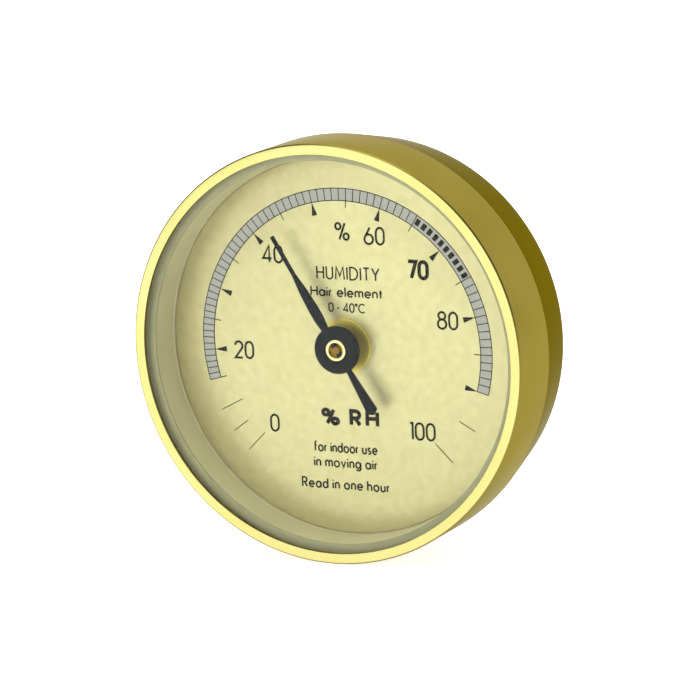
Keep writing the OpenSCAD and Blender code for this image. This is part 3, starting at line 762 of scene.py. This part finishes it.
# A plain one-line alphabet of the dial maker's kind: round bowls, straight stems, cap height 1
SMALL = 0.62
STEM = [(0.0, 0.0), (0.0, 1.0)]
SHORT_STEM = [(0.0, 0.0), (0.0, SMALL)]
BOWL = ring(0.24, 0.31, 0.24, 0.31)
ROUND_D = [(0.0, 0.0), (0.0, 1.0), (0.2, 1.0)] + bow(0.2, 0.5, 0.46, 0.5, 85, -85, 20) + [(0.2, 0.0)]
ROUND_R = [(0.0, 0.0), (0.0, 1.0), (0.24, 1.0)] + bow(0.24, 0.74, 0.24, 0.26, 85, -85) + [(0.02, 0.48)]
GLYPHS: dict[str, Glyph] = {
    "0": glyph(0.52, tall_oval(0.26, 0.52), loops=(0,)),
    "1": glyph(0.16, [(0.0, 1.0), (0.16, 1.0), (0.16, 0.0)]),
    "2": glyph(0.52, bow(0.27, 0.73, 0.25, 0.27, 172, -38) + [(0.02, 0.0), (0.52, 0.0)]),
    "4": glyph(0.58, [(0.43, 0.0), (0.43, 1.0), (0.0, 0.23), (0.58, 0.23)]),
    "6": glyph(0.56, ring(0.28, 0.29, 0.28, 0.29), [(0.37, 1.0), (0.045, 0.43)], loops=(0,)),
    "7": glyph(0.5, [(0.0, 1.0), (0.5, 1.0), (0.18, 0.0)]),
    "8": glyph(0.54, ring(0.27, 0.28, 0.27, 0.28), ring(0.27, 0.78, 0.22, 0.22), loops=(0, 1)),
    "%": glyph(
        0.86, ring(0.17, 0.8, 0.17, 0.19), ring(0.69, 0.19, 0.17, 0.19), [(0.62, 1.0), (0.24, 0.0)], loops=(0, 1)
    ),
    "-": glyph(0.26, [(0.0, 0.42), (0.26, 0.42)]),
    "°": glyph(0.2, ring(0.1, 0.88, 0.1, 0.11), loops=(0,)),
    "C": glyph(0.72, bow(0.44, 0.5, 0.44, 0.5, 48, 312, 26)),
    "D": glyph(0.66, ROUND_D, loops=(0,)),
    "H": glyph(0.58, STEM, [(0.58, 0.0), (0.58, 1.0)], [(0.0, 0.52), (0.58, 0.52)]),
    "I": glyph(0.0, STEM),
    "M": glyph(0.76, [(0.0, 0.0), (0.08, 1.0), (0.38, 0.28), (0.68, 1.0), (0.76, 0.0)]),
    "R": glyph(0.5, ROUND_R, [(0.22, 0.48), (0.5, 0.0)]),
    "T": glyph(0.5, [(0.0, 1.0), (0.5, 1.0)], [(0.25, 1.0), (0.25, 0.0)]),
    "U": glyph(0.54, [(0.0, 1.0)] + bow(0.27, 0.27, 0.27, 0.27, 180, 360) + [(0.54, 1.0)]),
    "Y": glyph(0.6, [(0.0, 1.0), (0.3, 0.46), (0.6, 1.0)], [(0.3, 0.46), (0.3, 0.0)]),
    "a": glyph(0.5, BOWL, [(0.5, SMALL), (0.5, 0.0)], loops=(0,)),
    "d": glyph(0.5, BOWL, [(0.5, 1.0), (0.5, 0.0)], loops=(0,)),
    "e": glyph(0.52, [(0.02, 0.31), (0.5, 0.31)] + bow(0.26, 0.31, 0.25, 0.31, 5, 318, 22)),
    "f": glyph(0.28, [(0.09, 0.0)] + bow(0.24, 0.84, 0.15, 0.16, 180, 80, 8), [(0.0, 0.6), (0.26, 0.6)]),
    "g": glyph(0.5, BOWL, [(0.5, SMALL)] + bow(0.25, -0.06, 0.25, 0.2, 0, -150, 12), loops=(0,)),
    "h": glyph(0.42, STEM, [(0.0, 0.36)] + bow(0.21, 0.4, 0.21, 0.22, 165, 0, 12) + [(0.42, 0.0)]),
    "i": glyph(0.0, SHORT_STEM, [(0.0, 0.8), (0.0, 0.92)]),
    "l": glyph(0.0, STEM),
    "m": glyph(
        0.7,
        SHORT_STEM,
        [(0.0, 0.38)] + bow(0.175, 0.43, 0.175, 0.19, 165, 0, 10) + [(0.35, 0.0)],
        [(0.35, 0.38)] + bow(0.525, 0.43, 0.175, 0.19, 165, 0, 10) + [(0.7, 0.0)],
    ),
    "n": glyph(0.4, SHORT_STEM, [(0.0, 0.36)] + bow(0.2, 0.41, 0.2, 0.21, 165, 0, 12) + [(0.4, 0.0)]),
    "o": glyph(0.52, ring(0.26, 0.31, 0.26, 0.31), loops=(0,)),
    "r": glyph(0.2, SHORT_STEM, [(0.0, 0.36)] + bow(0.2, 0.38, 0.2, 0.23, 165, 90, 8)),
    "s": glyph(0.34, bow(0.18, 0.465, 0.14, 0.155, 40, 262, 12) + bow(0.17, 0.155, 0.16, 0.155, 82, -140, 12)),
    "t": glyph(0.26, [(0.11, 0.0), (0.11, 0.86)], [(0.0, 0.6), (0.24, 0.6)]),
    "u": glyph(
        0.42, [(0.0, SMALL)] + bow(0.21, 0.21, 0.21, 0.21, 180, 360, 14) + [(0.42, SMALL)], [(0.42, 0.3), (0.42, 0.0)]
    ),
    "v": glyph(0.44, [(0.0, SMALL), (0.22, 0.0), (0.44, SMALL)]),
}
# Width of a space, as a share of the cap height
SPACE = 0.34
# Crossing strokes differ this much in height, by turns, so that none shares a face
STAGGER, TURNS = 0.0015, 5
# How far the ink goes down into the dial, so that it has no gap under it
ROOT = 0.03


@dataclass
class Lettering:
    """A line of print on the dial.

    Attributes:
        text: what it says.
        middle: (u, v) of its middle, in millimetres.
        height: cap height, in millimetres.
        weight: width of the strokes, in millimetres.
        length: whole length, in millimetres, or none for the alphabet's own spacing.
        gap: space between letters, as a share of the height.
    """

    text: str
    middle: Point
    height: float
    weight: float
    length: Optional[float] = None
    gap: float = 0.2

    def solids(self, low: float, high: float) -> list[Mesh]:
        """Makes the strokes as thin solids.

        Args:
            low: w where they start, in the dial.
            high: w of their face.

        Returns:
            One mesh for each stroke.
        """
        pen, lines = 0.0, []
        for letter in self.text:
            if letter == " ":
                pen += SPACE
                continue
            shape = GLYPHS[letter]
            lines += [([(x + pen, y) for x, y in points], closed) for points, closed in shape.strokes]
            pen += shape.width + self.gap
        pen -= self.gap
        across = self.height if self.length is None else (self.length - self.weight) / pen
        left, low_line = self.middle[0], self.middle[1]
        out = []
        for i, (points, closed) in enumerate(lines):
            placed = [(left + (x - pen / 2) * across, low_line + (y - 0.5) * self.height) for x, y in points]
            out.append(ribbon(placed, closed, self.weight, low, high + STAGGER * (i % TURNS)))
        return out


def ribbon(points: Sequence[Point], closed: bool, width: float, low: float, high: float) -> Mesh:
    """Makes a flat closed ribbon that follows a line.

    Args:
        points: (u, v) points in order, in millimetres.
        closed: whether the line comes back to its start.
        width: width of the ribbon.
        low: w of its rear face.
        high: w of its front face.

    Returns:
        The mesh, in its place.
    """
    least_turn, longest_mitre = 0.3, 2.2
    line = [Vector(p) for p in points]
    count = len(line)
    work = bmesh.new()
    rows: list[list[bmesh.types.BMVert]] = []
    for i, here in enumerate(line):
        before = line[i - 1] if closed or i > 0 else None
        after = line[(i + 1) % count] if closed or i < count - 1 else None
        ways = [(b - a).normalized() for a, b in ((before, here), (here, after)) if a is not None and b is not None]
        normals = [Vector((-way.y, way.x)) for way in ways]
        normal = sum(normals, Vector((0, 0)))
        normal = normal.normalized() if normal.length > TINY else normals[0]
        mitre = min(1 / max(normal.dot(normals[0]), least_turn), longest_mitre)
        a, b = (here + side * normal * (width / 2 * mitre) for side in (1, -1))
        rows.append([work.verts.new(upright(p.x, p.y, w)) for p, w in ((a, high), (b, high), (b, low), (a, low))])
    for i in range(count if closed else count - 1):
        one, two = rows[i], rows[(i + 1) % count]
        for k in range(4):
            n = (k + 1) % 4
            work.faces.new((one[k], one[n], two[n], two[k]))
    if not closed:
        work.faces.new(rows[0])
        work.faces.new(rows[-1])
    return tidy(as_mesh(work, "ribbon"), smooth=False)


# ---------------------------------------------------------------- sub-assemblies


def place(piece: Piece, body: str, slot: str, *replaced: str) -> Piece:
    """Gives a finished piece its body, and hides the CAD nodes that it stands for.

    Args:
        piece: the finished piece.
        body: the body it moves with.
        slot: the name of a material slot; not used.
        *replaced: CAD nodes that it stands for.

    Returns:
        The same piece.
    """
    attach(piece, body)
    if replaced:
        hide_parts(*replaced)
    stands_for = f", for {', '.join(replaced)}" if replaced else ""
    LOG.info("%s: %d faces, on %s%s", piece.name, len(piece.data.polygons), body, stands_for)
    return piece


def dress(finish: Finish, *nodes: str) -> None:
    """Gives CAD nodes a finish in their own material slots.

    Args:
        finish: the finish.
        *nodes: the nodes' names.
    """
    for name in nodes:
        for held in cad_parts[name].material_slots:
            held.material = finish.build()
        LOG.info("%s: CAD shape, %s", name, finish.name)


@dataclass
class Case:
    """The two-part brass case: the bezel with its turned front ring, and the tapered rear case.

    All sizes are in millimetres.
    """

    radius: float = CASE_RADIUS
    depth: float = 25.0
    shoulder: float = 12.6
    shoulder_edge: tuple[Point, ...] = ((0.02, 0.1), (0.08, 0.0))
    back_radius: float = 35.2
    back_round: float = 1.0
    wall: float = 1.2
    bore: float = 36.3
    window: float = 35.6
    lip: float = 0.5
    chamfer: float = 0.2
    spigot_gap: float = 0.02
    spigot_wall: float = 1.3
    spigot_end: float = 15.3
    vents: int = 12
    vent_width: float = 2.4
    vent_from: float = 11.0
    vent_to: float = 22.0
    access: float = 4.0
    spindle: Point = (-8.795, 28.119)

    def build(self) -> None:
        """Builds and dresses both parts of the case."""
        place(self.bezel(), "case", "satin_brass", "bezel")
        place(self.rear(), "case", "rear_brass", "rear_case")

    def bezel(self) -> Piece:
        """Makes the bezel: a thin barrel, with a flat front ring and a lip over the glass."""
        front, edge = self.depth, self.chamfer
        section = [
            (self.bore, self.shoulder, 0),
            (self.radius, self.shoulder, 0.12),
            (self.radius, front - edge, 0.1),
            (self.radius - edge, front, 0.1),
            (self.window, front, 0.08),
            (self.window, front - self.lip, 0.05),
            (self.bore, front - self.lip, 0),
        ]
        # The flat of the ring alone takes the lit copy of the brass; its soft edges take the barrel's copy painted with
        # shade
        skin, lit_copy_to = 0.04, self.radius - edge * 1.4
        return turned_part(
            "bezel_ring",
            section,
            [LIT_RING_BRASS, BARREL_SHADE_BRASS],
            lambda r, w: 0 if w > front - skin and self.window + skin < r < lit_copy_to else 1,
        )

    def rear(self) -> Piece:
        """Makes the rear case: tapered side, flat back with air slots and the hole for a screwdriver."""
        bend, flat = self.back_round, self.back_radius - self.back_round
        spigot, inner = self.bore - self.spigot_gap, self.bore - self.spigot_wall
        section = [
            (0.0, 0.0),
            *arc(flat, bend, bend, range(-90, -9, 10)),
            *((self.radius - r, self.shoulder - w) for r, w in self.shoulder_edge),
            (spigot, self.shoulder),
            (spigot, self.spigot_end),
            (inner, self.spigot_end),
            (inner, self.shoulder - self.wall),
            (self.back_radius - self.wall, self.wall + bend),
            (self.back_radius - self.wall - bend, self.wall),
            (0.0, self.wall),
        ]
        half = self.vent_width / 2
        slot = arc(0.0, self.vent_to - half, half, range(0, 181, 12))
        slot += arc(0.0, self.vent_from + half, half, range(180, 361, 12))
        shell = self._cut(without_poles(lathe(section)), slot, self.vents, 180 / self.vents)
        u, v = self.spindle
        hole = [(u + x, v + y) for x, y in (on_circle(a, self.access / 2) for a in range(0, 360, 10))]
        return as_object("rear_shell", self._cut(shell, hole, 1, 0.0), [SPUN_BRASS])

    def _cut(self, shell: Mesh, outline: Sequence[Point], count: int, start: float) -> Mesh:
        """Cuts one outline through the back, repeated round the axis.

        Args:
            shell: the mesh to cut.
            outline: the outline, in its first place.
            count: how many times it is cut, evenly round.
            start: angle of the first cut, in degrees clockwise.

        Returns:
            The cut mesh.
        """
        past = 1
        tool = as_object("cutter", prism(outline, -past, self.wall + past), [])
        out = slot_tree().grow({"Count": count, "First angle": start, "Cutter": tool}, SPUN_BRASS, shell)
        bpy.data.objects.remove(tool)
        return tidy(out)


@dataclass
class GlassStack:
    """What lies between the bezel's lip and the dial: the glass, its seal, and the spacer. Sizes in millimetres."""

    drop: float = 36.2
    glass_low: float = 22.9
    glass_high: float = 24.5
    edge: float = 0.25
    seal_low: float = 22.4
    seal_high: float = 22.84
    seal_inner: float = 34.3
    spacer_low: float = 15.8
    spacer_inner: float = 34.3
    hollow: float = 0.5
    foot: float = 0.1
    joint_line: float = 0.09

    def build(self) -> None:
        """Builds and dresses the glass, the seal and the spacer."""
        place(self.glass(), "case", "crystal_glass", "crystal")
        place(self.seal(), "case", "seal_grey", "gasket")
        place(self.spacer(), "case", "spacer_paint", "spacer_ring")

    def glass(self) -> Piece:
        """Makes the flat pane, with its ground front edge."""
        outline = [
            (0.0, self.glass_low),
            (self.drop, self.glass_low),
            (self.drop, self.glass_high - self.edge),
            (self.drop - self.edge, self.glass_high),
            (0.0, self.glass_high),
        ]
        return as_object("crystal_pane", lathe(outline), [PANE])

    def seal(self) -> Piece:
        """Makes the flat seal, whose front shows through the glass inside the ring."""
        section = [
            (self.seal_inner, self.seal_low, 0.12),
            (self.drop, self.seal_low, 0),
            (self.drop, self.seal_high, 0),
            (self.seal_inner, self.seal_high, 0.12),
        ]
        return turned_part("seal_ring", section, [SEAL_RUBBER])

    def spacer(self) -> Piece:
        """Makes the spacer: the wall between the dial and the glass."""
        middle, low = self.spacer_inner - self.hollow, self.spacer_low + self.foot + self.hollow
        section = [
            (self.drop, self.spacer_low),
            (self.drop, self.seal_low),
            (self.spacer_inner, self.seal_low),
            *arc(middle, low, self.hollow, range(0, -91, -9)),
            (middle, self.spacer_low),
        ]
        browned = self.spacer_low + self.foot + self.joint_line
        mesh = lathe(section, lambda r, w: 1 if r < self.spacer_inner and w < browned else 0)
        return as_object("spacer_wall", mesh, [SPACER_PAINT, OLD_LACQUER])


@dataclass
class Dial:
    """The cream dial with its printed scale, numerals and words, and the brass boss at its middle.

    Sizes are in millimetres and angles in degrees clockwise from the top.
    """

    radius: float = 36.2
    face: float = 15.8
    thickness: float = 0.5
    hole: float = 3.02
    band_inner: float = 26.1
    band_outer: float = 28.28
    band_values: Point = (15, 90)
    ink: float = 0.02
    line: float = 0.16
    middle_value: float = 55.0
    middle_angle: float = 2.6
    degrees_each: float = 2.93
    crowding: float = 0.0145
    crowds_below: float = 40.0
    mark_end: float = 28.3
    lone_marks: tuple[Point, ...] = ((-134.8, 23.66), (-126.0, 24.8), (-117.1, 23.66), (134.8, 23.66))
    boss_radius: float = 5.0
    boss_bore: float = 0.7
    boss_rim: float = 0.35
    boss_rim_width: float = 0.3
    boss_dish: float = 0.2
    boss_nose: float = 1.7
    boss_nose_height: float = 0.75
    shank: float = 3.0
    shank_low: float = 13.7

    def build(self) -> None:
        """Builds and dresses the dial, its print and its boss."""
        place(self.plate(), "case", "dial_paint", "dial")
        for printed in (self.band, self.marks, self.numerals, self.words):
            place(printed(), "case", "dial_paint")
        place(self.boss(), "case", "dial_brass", "dial_boss")
        dress(MOVEMENT_BRASS, "dial_feet", "dial_nuts")

    def angle(self, value: float) -> float:
        """Angle of a humidity on the scale."""
        short = max(self.crowds_below - value, 0)
        return self.middle_angle + self.degrees_each * (value - self.middle_value) + self.crowding * short * short

    def plate(self) -> Piece:
        """Makes the dial plate."""
        low, face = self.face - self.thickness, self.face
        section = [(self.hole, low, 0), (self.radius, low, 0.05), (self.radius, face, 0.05), (self.hole, face, 0)]
        return turned_part("dial_plate", section, [DIAL_SATIN])

    def arc_strip(self, inner: float, outer: float, rise: float) -> Mesh:
        """Makes a flat strip of ink along the whole band, between two radii.

        Args:
            inner: inner radius.
            outer: outer radius.
            rise: how far its face stands above the dial.

        Returns:
            The mesh, in its place.
        """
        piece_turn, root = 1.5, 0.05
        start, stop = (self.angle(value) for value in self.band_values)
        steps = max(2, int(abs(stop - start) / piece_turn))
        points = [on_circle(start + (stop - start) * k / steps, (inner + outer) / 2) for k in range(steps + 1)]
        return ribbon(points, False, outer - inner, self.face - root, self.face + rise)

    def band(self) -> Piece:
        """Makes the grey band behind the scale."""
        return as_object("scale_band", self.arc_strip(self.band_inner, self.band_outer, self.ink / 2), [BAND_INK])

    def marks(self) -> Piece:
        """Makes every dark mark of the scale with one geometry tree, and the band's two outlines."""
        tree = mark_tree()
        law = {
            "Middle value": self.middle_value,
            "Middle angle": self.middle_angle,
            "Degrees each": self.degrees_each,
            "Crowding": self.crowding,
            "Crowds below": self.crowds_below,
            "Depth": (self.face - ROOT) * MM,
            "Thickness": (self.ink + ROOT) * MM,
        }
        inner, outer, line = self.band_inner, self.band_outer, self.line

        def run(row: tuple[float, ...], low: float, high: float, width: float, narrow: float = 0.0) -> Mesh:
            """Grows one row (how many, first value, step) between two radii, which may narrow outwards."""
            values = dict(zip(("Count", "First", "Step"), row))
            sizes = {"Inner radius": low * MM, "Length": (high - low) * MM, "Width": width * MM, "Narrowing": narrow}
            return tree.grow({**law, **values, **sizes}, PRINT_INK)

        rows = [
            run((51, 15, 1), inner, outer, line),  # each per cent up to the dark blocks
            run((16, 75, 1), inner, outer, line),  # and after them
            run((8, 15, 10), 24.85, inner, line * 1.1),  # the fives, inside the band
            run((8, 20, 10), 23.75, inner - 0.1, 1.05, 0.93),  # arrowheads at the tens
            run((10, 65.5, 1), 26.62, 27.84, 0.86),  # dark blocks in the band
            run((1, 95, 1), 24.8, self.mark_end, line),
        ]
        for angle, low in self.lone_marks:
            law = {**law, "Middle value": 0.0, "Middle angle": angle, "Crowds below": 0.0}
            rows.append(run((1, 0, 1), low, self.mark_end, line))
        # The band's outlines stand a little over the marks that end in them
        for radius in (inner, outer):
            rows.append(self.arc_strip(radius - line / 2, radius + line / 2, self.ink * 1.15))
        return as_object("scale_marks", joined(rows), [PRINT_INK])

    def printed(self, name: str, lines: Sequence[Lettering]) -> Piece:
        """Makes lines of lettering as one piece of ink."""
        solids = [solid for line in lines for solid in line.solids(self.face - ROOT, self.face + self.ink)]
        piece = as_object(name, joined(solids), [PRINT_INK])
        piece.data.polygons.foreach_set("use_smooth", [False] * len(piece.data.polygons))
        return piece

    def turned(self, x: float, y: float) -> Point:
        """Takes a place given with the middle of the scale on top, in radii of the case, to (u, v)."""
        u, v = spun(x, y, self.middle_angle)
        return CASE_RADIUS * u, CASE_RADIUS * v

    def numerals(self) -> Piece:
        """Makes the numerals of the scale and the per cent sign."""
        tall, thin, bold = 2.95, 0.4, 0.68
        rows = (
            ("20", -0.537, -0.070, thin),
            ("40", -0.383, 0.409, thin),
            ("60", 0.148, 0.541, thin),
            ("%", -0.018, 0.549, thin),
            ("70", 0.373, 0.399, bold),
            ("80", 0.526, 0.172, thin),
            ("100", 0.400, -0.373, thin),
            ("0", -0.374, -0.411, thin),
        )
        return self.printed("numerals", [Lettering(text, self.turned(x, y), tall, w) for text, x, y, w in rows])

    def words(self) -> Piece:
        """Makes the words: what the dial reads, and plain advice."""
        rows = (
            ("HUMIDITY", 0.012, 0.350, 2.2, 0.3, 12.4, 0.26),
            ("Hair element", 0.005, 0.260, 1.65, 0.31, 14.2, 0.22),
            ("0 - 40°C", 0.006, 0.185, 1.5, 0.26, 7.2, 0.2),
            ("% RH", 0.024, -0.345, 2.5, 0.72, 11.4, 0.42),
            ("for indoor use", 0.0, -0.494, 1.7, 0.31, 12.6, 0.24),
            ("in moving air", 0.0, -0.567, 1.7, 0.31, 12.6, 0.24),
            ("Read in one hour", 0.0, -0.673, 1.7, 0.31, 17.4, 0.26),
        )
        return self.printed("words", [Lettering(text, self.turned(x, y), *sizes) for text, x, y, *sizes in rows])

    def boss(self) -> Piece:
        """Makes the dished brass boss with its rim, its nose and the shank that holds the movement."""
        face, top = self.face, self.face + self.boss_rim
        bore, nose = self.boss_bore, face + self.boss_nose_height
        section = [
            (bore, self.shank_low, 0),
            (self.shank, self.shank_low, 0.1),
            (self.shank, face, 0),
            (self.boss_radius, face, 0.05),
            (self.boss_radius, top, 0.08),
            (self.boss_radius - self.boss_rim_width, top, 0.06),
            (self.boss_nose + self.boss_rim_width, top - self.boss_dish, 0.15),
            (self.boss_nose, nose, 0.12),
            (bore, nose, 0.08),
        ]
        return turned_part("boss_disc", section, [BOSS_BRASS])


@dataclass
class Pointer:
    """The black pointer with its long tail, on a bright brass collet. Sizes in millimetres."""

    rest: float = -30.9
    blade_low: float = 19.1
    blade_high: float = 19.5
    blade_edge: float = 0.07
    hub_low: float = 18.9
    hub_high: float = 19.7
    hub_radius: float = 4.3
    neck: float = 1.5
    flange: float = 1.9
    cup: float = 1.4
    cup_depth: float = 0.55
    bore: float = 0.67
    collet_low: float = 17.05
    collet_high: float = 19.9
    outline: tuple[Point, ...] = (
        (0.36, 23.1),
        (0.36, 15.2),
        (0.8, 11.8),
        (0.99, 7.9),
        (0.96, 6.2),
        (0.69, 4.1),
        (0.5, -4.2),
        (1.1, -12.5),
        (0.0, -13.2),
    )

    def build(self) -> None:
        """Builds and dresses the pointer and what turns with it."""
        place(self.hand(), "pointer_train", "pointer_black", "pointer")
        place(self.collet(), "pointer_train", "dial_brass", "pointer_collet")
        # The arbor's end shows inside the cup, so it takes the brass painted dark for the cup's shade
        dress(CUP_SHADE_BRASS, "arbor")
        dress(MOVEMENT_BRASS, "pinion", "hairspring_collet")

    def hand(self) -> Piece:
        """Makes the blade, the tail and the hub's disc."""
        right = list(self.outline)
        left = [(-x, y) for x, y in reversed(right[:-1])]
        flat = prism([spun(x, y, self.rest) for x, y in right + left], self.blade_low, self.blade_high)
        edge = 0.2
        section = [
            (self.neck, self.hub_low, 0),
            (self.hub_radius, self.hub_low, 0.1),
            (self.hub_radius, self.hub_high - edge, 0.1),
            (self.hub_radius - edge, self.hub_high, 0.1),
            (self.neck, self.hub_high, 0),
        ]
        blade = bevelled(flat, self.blade_edge)
        return as_object("pointer_hand", joined([blade, lathe(rounded(section))]), [POINTER_ENAMEL])

    def collet(self) -> Piece:
        """Makes the collet: a neck under the hub, and a bright ring over it with a cup painted dark for its shade."""
        top, floor = self.collet_high, self.collet_high - self.cup_depth
        section = [
            (self.bore, self.collet_low, 0),
            (self.neck, self.collet_low, 0.1),
            (self.neck, self.hub_high, 0),
            (self.flange, self.hub_high, 0.04),
            (self.flange, top, 0.08),
            (self.cup, top, 0.06),
            (self.cup, floor, 0.08),
            (self.bore, floor, 0),
        ]
        # The faces inside the cup take the brass painted dark for the cup's shade
        skin, neck_part = 0.02, 0.5
        return turned_part(
            "collet_ring",
            section,
            [COLLET_BRASS, CUP_SHADE_BRASS],
            lambda r, w: 1 if r < self.cup - skin and w > self.hub_high - neck_part else 0,
        )


@dataclass
class Movement:
    """The works behind the dial: plates, sector, clips, calibration spindle, and the bundle of hair.

    Sizes are in millimetres.
    """

    hair_across: float = -10.295
    hair_depth: float = 7.5
    hair_top: float = 25.52
    hair_bottom: float = -11.28
    bundle: float = 0.26
    strand: float = 0.022
    strands: int = 46

    def build(self) -> None:
        """Builds the hair, and dresses the CAD shapes of the works."""
        middle = (self.hair_top + self.hair_bottom) / 2
        self._hair("hair_upper", middle, self.hair_top, "anchor", 7)
        self._hair("hair_lower", middle, self.hair_bottom, "hair_pull", 8)
        plates = "front_plate", "rear_plate", "pillars", "bushes", "sector", "sector_collet", "calibration_spindle"
        steel = "bridge_screws", "stop_pins", "sector_arbor", "hair_arm", "spring_washer", "hairspring_stud"
        dress(MOVEMENT_BRASS, *plates)
        dress(TURNED_STEEL, *steel)
        dress(SPRING_BRONZE, "hairspring")
        dress(CLIP_ALUMINIUM, "hair_clip", "anchor_clip")

    def _hair(self, name: str, middle: float, end: float, body: str, seed: int) -> None:
        """Makes half of the hair bundle, which stretches between the case and a clip.

        Args:
            name: the piece's name.
            middle: height of the end that stays with the case.
            end: height of the end that a clip holds.
            body: the body of that clip.
            seed: seed of the strands' turns.
        """
        sizes = {
            "Count": self.strands,
            "Seed": seed,
            "Across": self.hair_across * MM,
            "Depth": -self.hair_depth * MM,
            "Top": max(middle, end) * MM,
            "Bottom": min(middle, end) * MM,
            "Bundle radius": (self.bundle - self.strand) * MM,
            "Strand radius": self.strand * MM,
        }
        piece = as_object(name, strand_tree().grow(sizes, HAIR_STRAND), [HAIR_STRAND])
        still, moved = (tuple(upright(self.hair_across, height, self.hair_depth)) for height in (middle, end))
        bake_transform(piece)
        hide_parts("hair_bundle")
        LOG.info("%s: %d faces, between case and %s", name, len(piece.data.polygons), body)


# ---------------------------------------------------------------- studio


@dataclass
class Studio:
    """Camera, lamps, world and floor. Lengths are in metres, angles in degrees."""

    azimuth: float = 26.16
    elevation: float = 11.66
    roll: float = -2.43
    distance: float = 0.7219
    lens: float = 213.2
    target: tuple[float, float, float] = (0.00519, -0.025, 0.00137)
    floor_height: float = -0.0375
    floor_size: float = 3.0
    floor_glow: float = 0.8
    world_light: float = 0.15

    def build(self) -> None:
        """Sets up the whole studio."""
        bpy.context.scene.view_settings.view_transform = "Standard"
        self.camera()
        self.world()
        self.floor()
        for name, way, *sizes in (
            ("key_softbox", (-0.3, -1.0, 0.25), 1.0, 0.5, 1.5),
            ("left_softbox", (-0.9, -0.55, 0.35), 1.1, 0.7, 0.8),
            ("top_softbox", (-0.05, -0.16, 1.0), 1.2, 1.0, 7.4),
            ("right_softbox", (1.0, 0.55, 0.2), 1.2, 1.0, 1.8),
            ("back_softbox", (-0.02, 0.88, 0.34), 1.2, 2.1, 15.8),
        ):
            self.lamp(name, way, *sizes)

    def away(self) -> Vector:
        """Unit vector from the target to the camera."""
        a, e = math.radians(self.azimuth), math.radians(self.elevation)
        return Vector((math.sin(a) * math.cos(e), -math.cos(a) * math.cos(e), math.sin(e)))

    def camera(self) -> None:
        """Puts the camera in its place, with no depth of field."""
        data = bpy.data.cameras.new("camera")
        data.lens, data.sensor_width = self.lens, 36.0
        data.clip_start, data.clip_end = 0.01, 20.0
        held = bpy.data.objects.new("camera", data)
        held.location = Vector(self.target) + self.away() * self.distance
        turn = (-self.away()).to_track_quat("-Z", "Y") @ Quaternion((0, 0, 1), math.radians(self.roll))
        held.rotation_mode = "QUATERNION"
        held.rotation_quaternion = turn
        bpy.context.scene.collection.objects.link(held)
        bpy.context.scene.camera = held

    def lamp(self, name: str, way: tuple[float, float, float], distance: float, size: float, watts: float) -> None:
        """Hangs one round softbox.

        Args:
            name: the lamp's name.
            way: direction from the dial to the lamp.
            distance: how far away it hangs.
            size: its width.
            watts: its power.
        """
        data = bpy.data.lights.new(name, "AREA")
        data.shape, data.size, data.energy = "DISK", size, watts
        hung = bpy.data.objects.new(name, data)
        out = Vector(way).normalized()
        hung.location = out * distance
        hung.rotation_mode = "QUATERNION"
        hung.rotation_quaternion = (-out).to_track_quat("-Z", "Y")
        bpy.context.scene.collection.objects.link(hung)

    def world(self) -> None:
        """Makes the room: white where it is seen, and a soft even light on everything."""
        world = bpy.data.worlds.new("studio")
        bpy.context.scene.world = world
        world.use_nodes = True
        tree = world.node_tree
        tree.nodes.clear()
        seen = add(tree, "ShaderNodeLightPath").outputs["Is Camera Ray"]
        power = first(tree, "ShaderNodeMapRange", {"Value": seen, "To Min": self.world_light, "To Max": 1.0})
        sky = first(tree, "ShaderNodeBackground", {"Color": linear("FFFFFF"), "Strength": power})
        add(tree, "ShaderNodeOutputWorld", {"Surface": sky})

    def floor(self) -> None:
        """Lays the plain pale floor."""
        half, z = self.floor_size / 2, self.floor_height
        mesh = bpy.data.meshes.new("floor")
        mesh.from_pydata([(-half, -half, z), (half, -half, z), (half, half, z), (-half, half, z)], [], [(0, 1, 2, 3)])
        # Matt white studio paper
        paper = Finish("paper_white_matt", "FAFAF8", "F7F7F5", 0.0, 0.9, 0.02, Grain.SPECKLE, 2.0, 5.0, 60.0, 0.4)
        laid = as_object("floor", mesh, [paper])
        shader = next(n for n in laid.active_material.node_tree.nodes if n.type == "BSDF_PRINCIPLED")
        shader.inputs["Emission Color"].default_value = linear("FFFFFF")
        shader.inputs["Emission Strength"].default_value = self.floor_glow


def main() -> None:
    """Builds the studio and the instrument."""
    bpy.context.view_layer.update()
    Studio().build()
    for part in (Case(), GlassStack(), Dial(), Pointer(), Movement()):
        LOG.info("building %s", type(part).__name__)
        part.build()


if __name__ == "__main__":
    logging.basicConfig(level=logging.INFO, format="%(name)s: %(message)s")
    main()
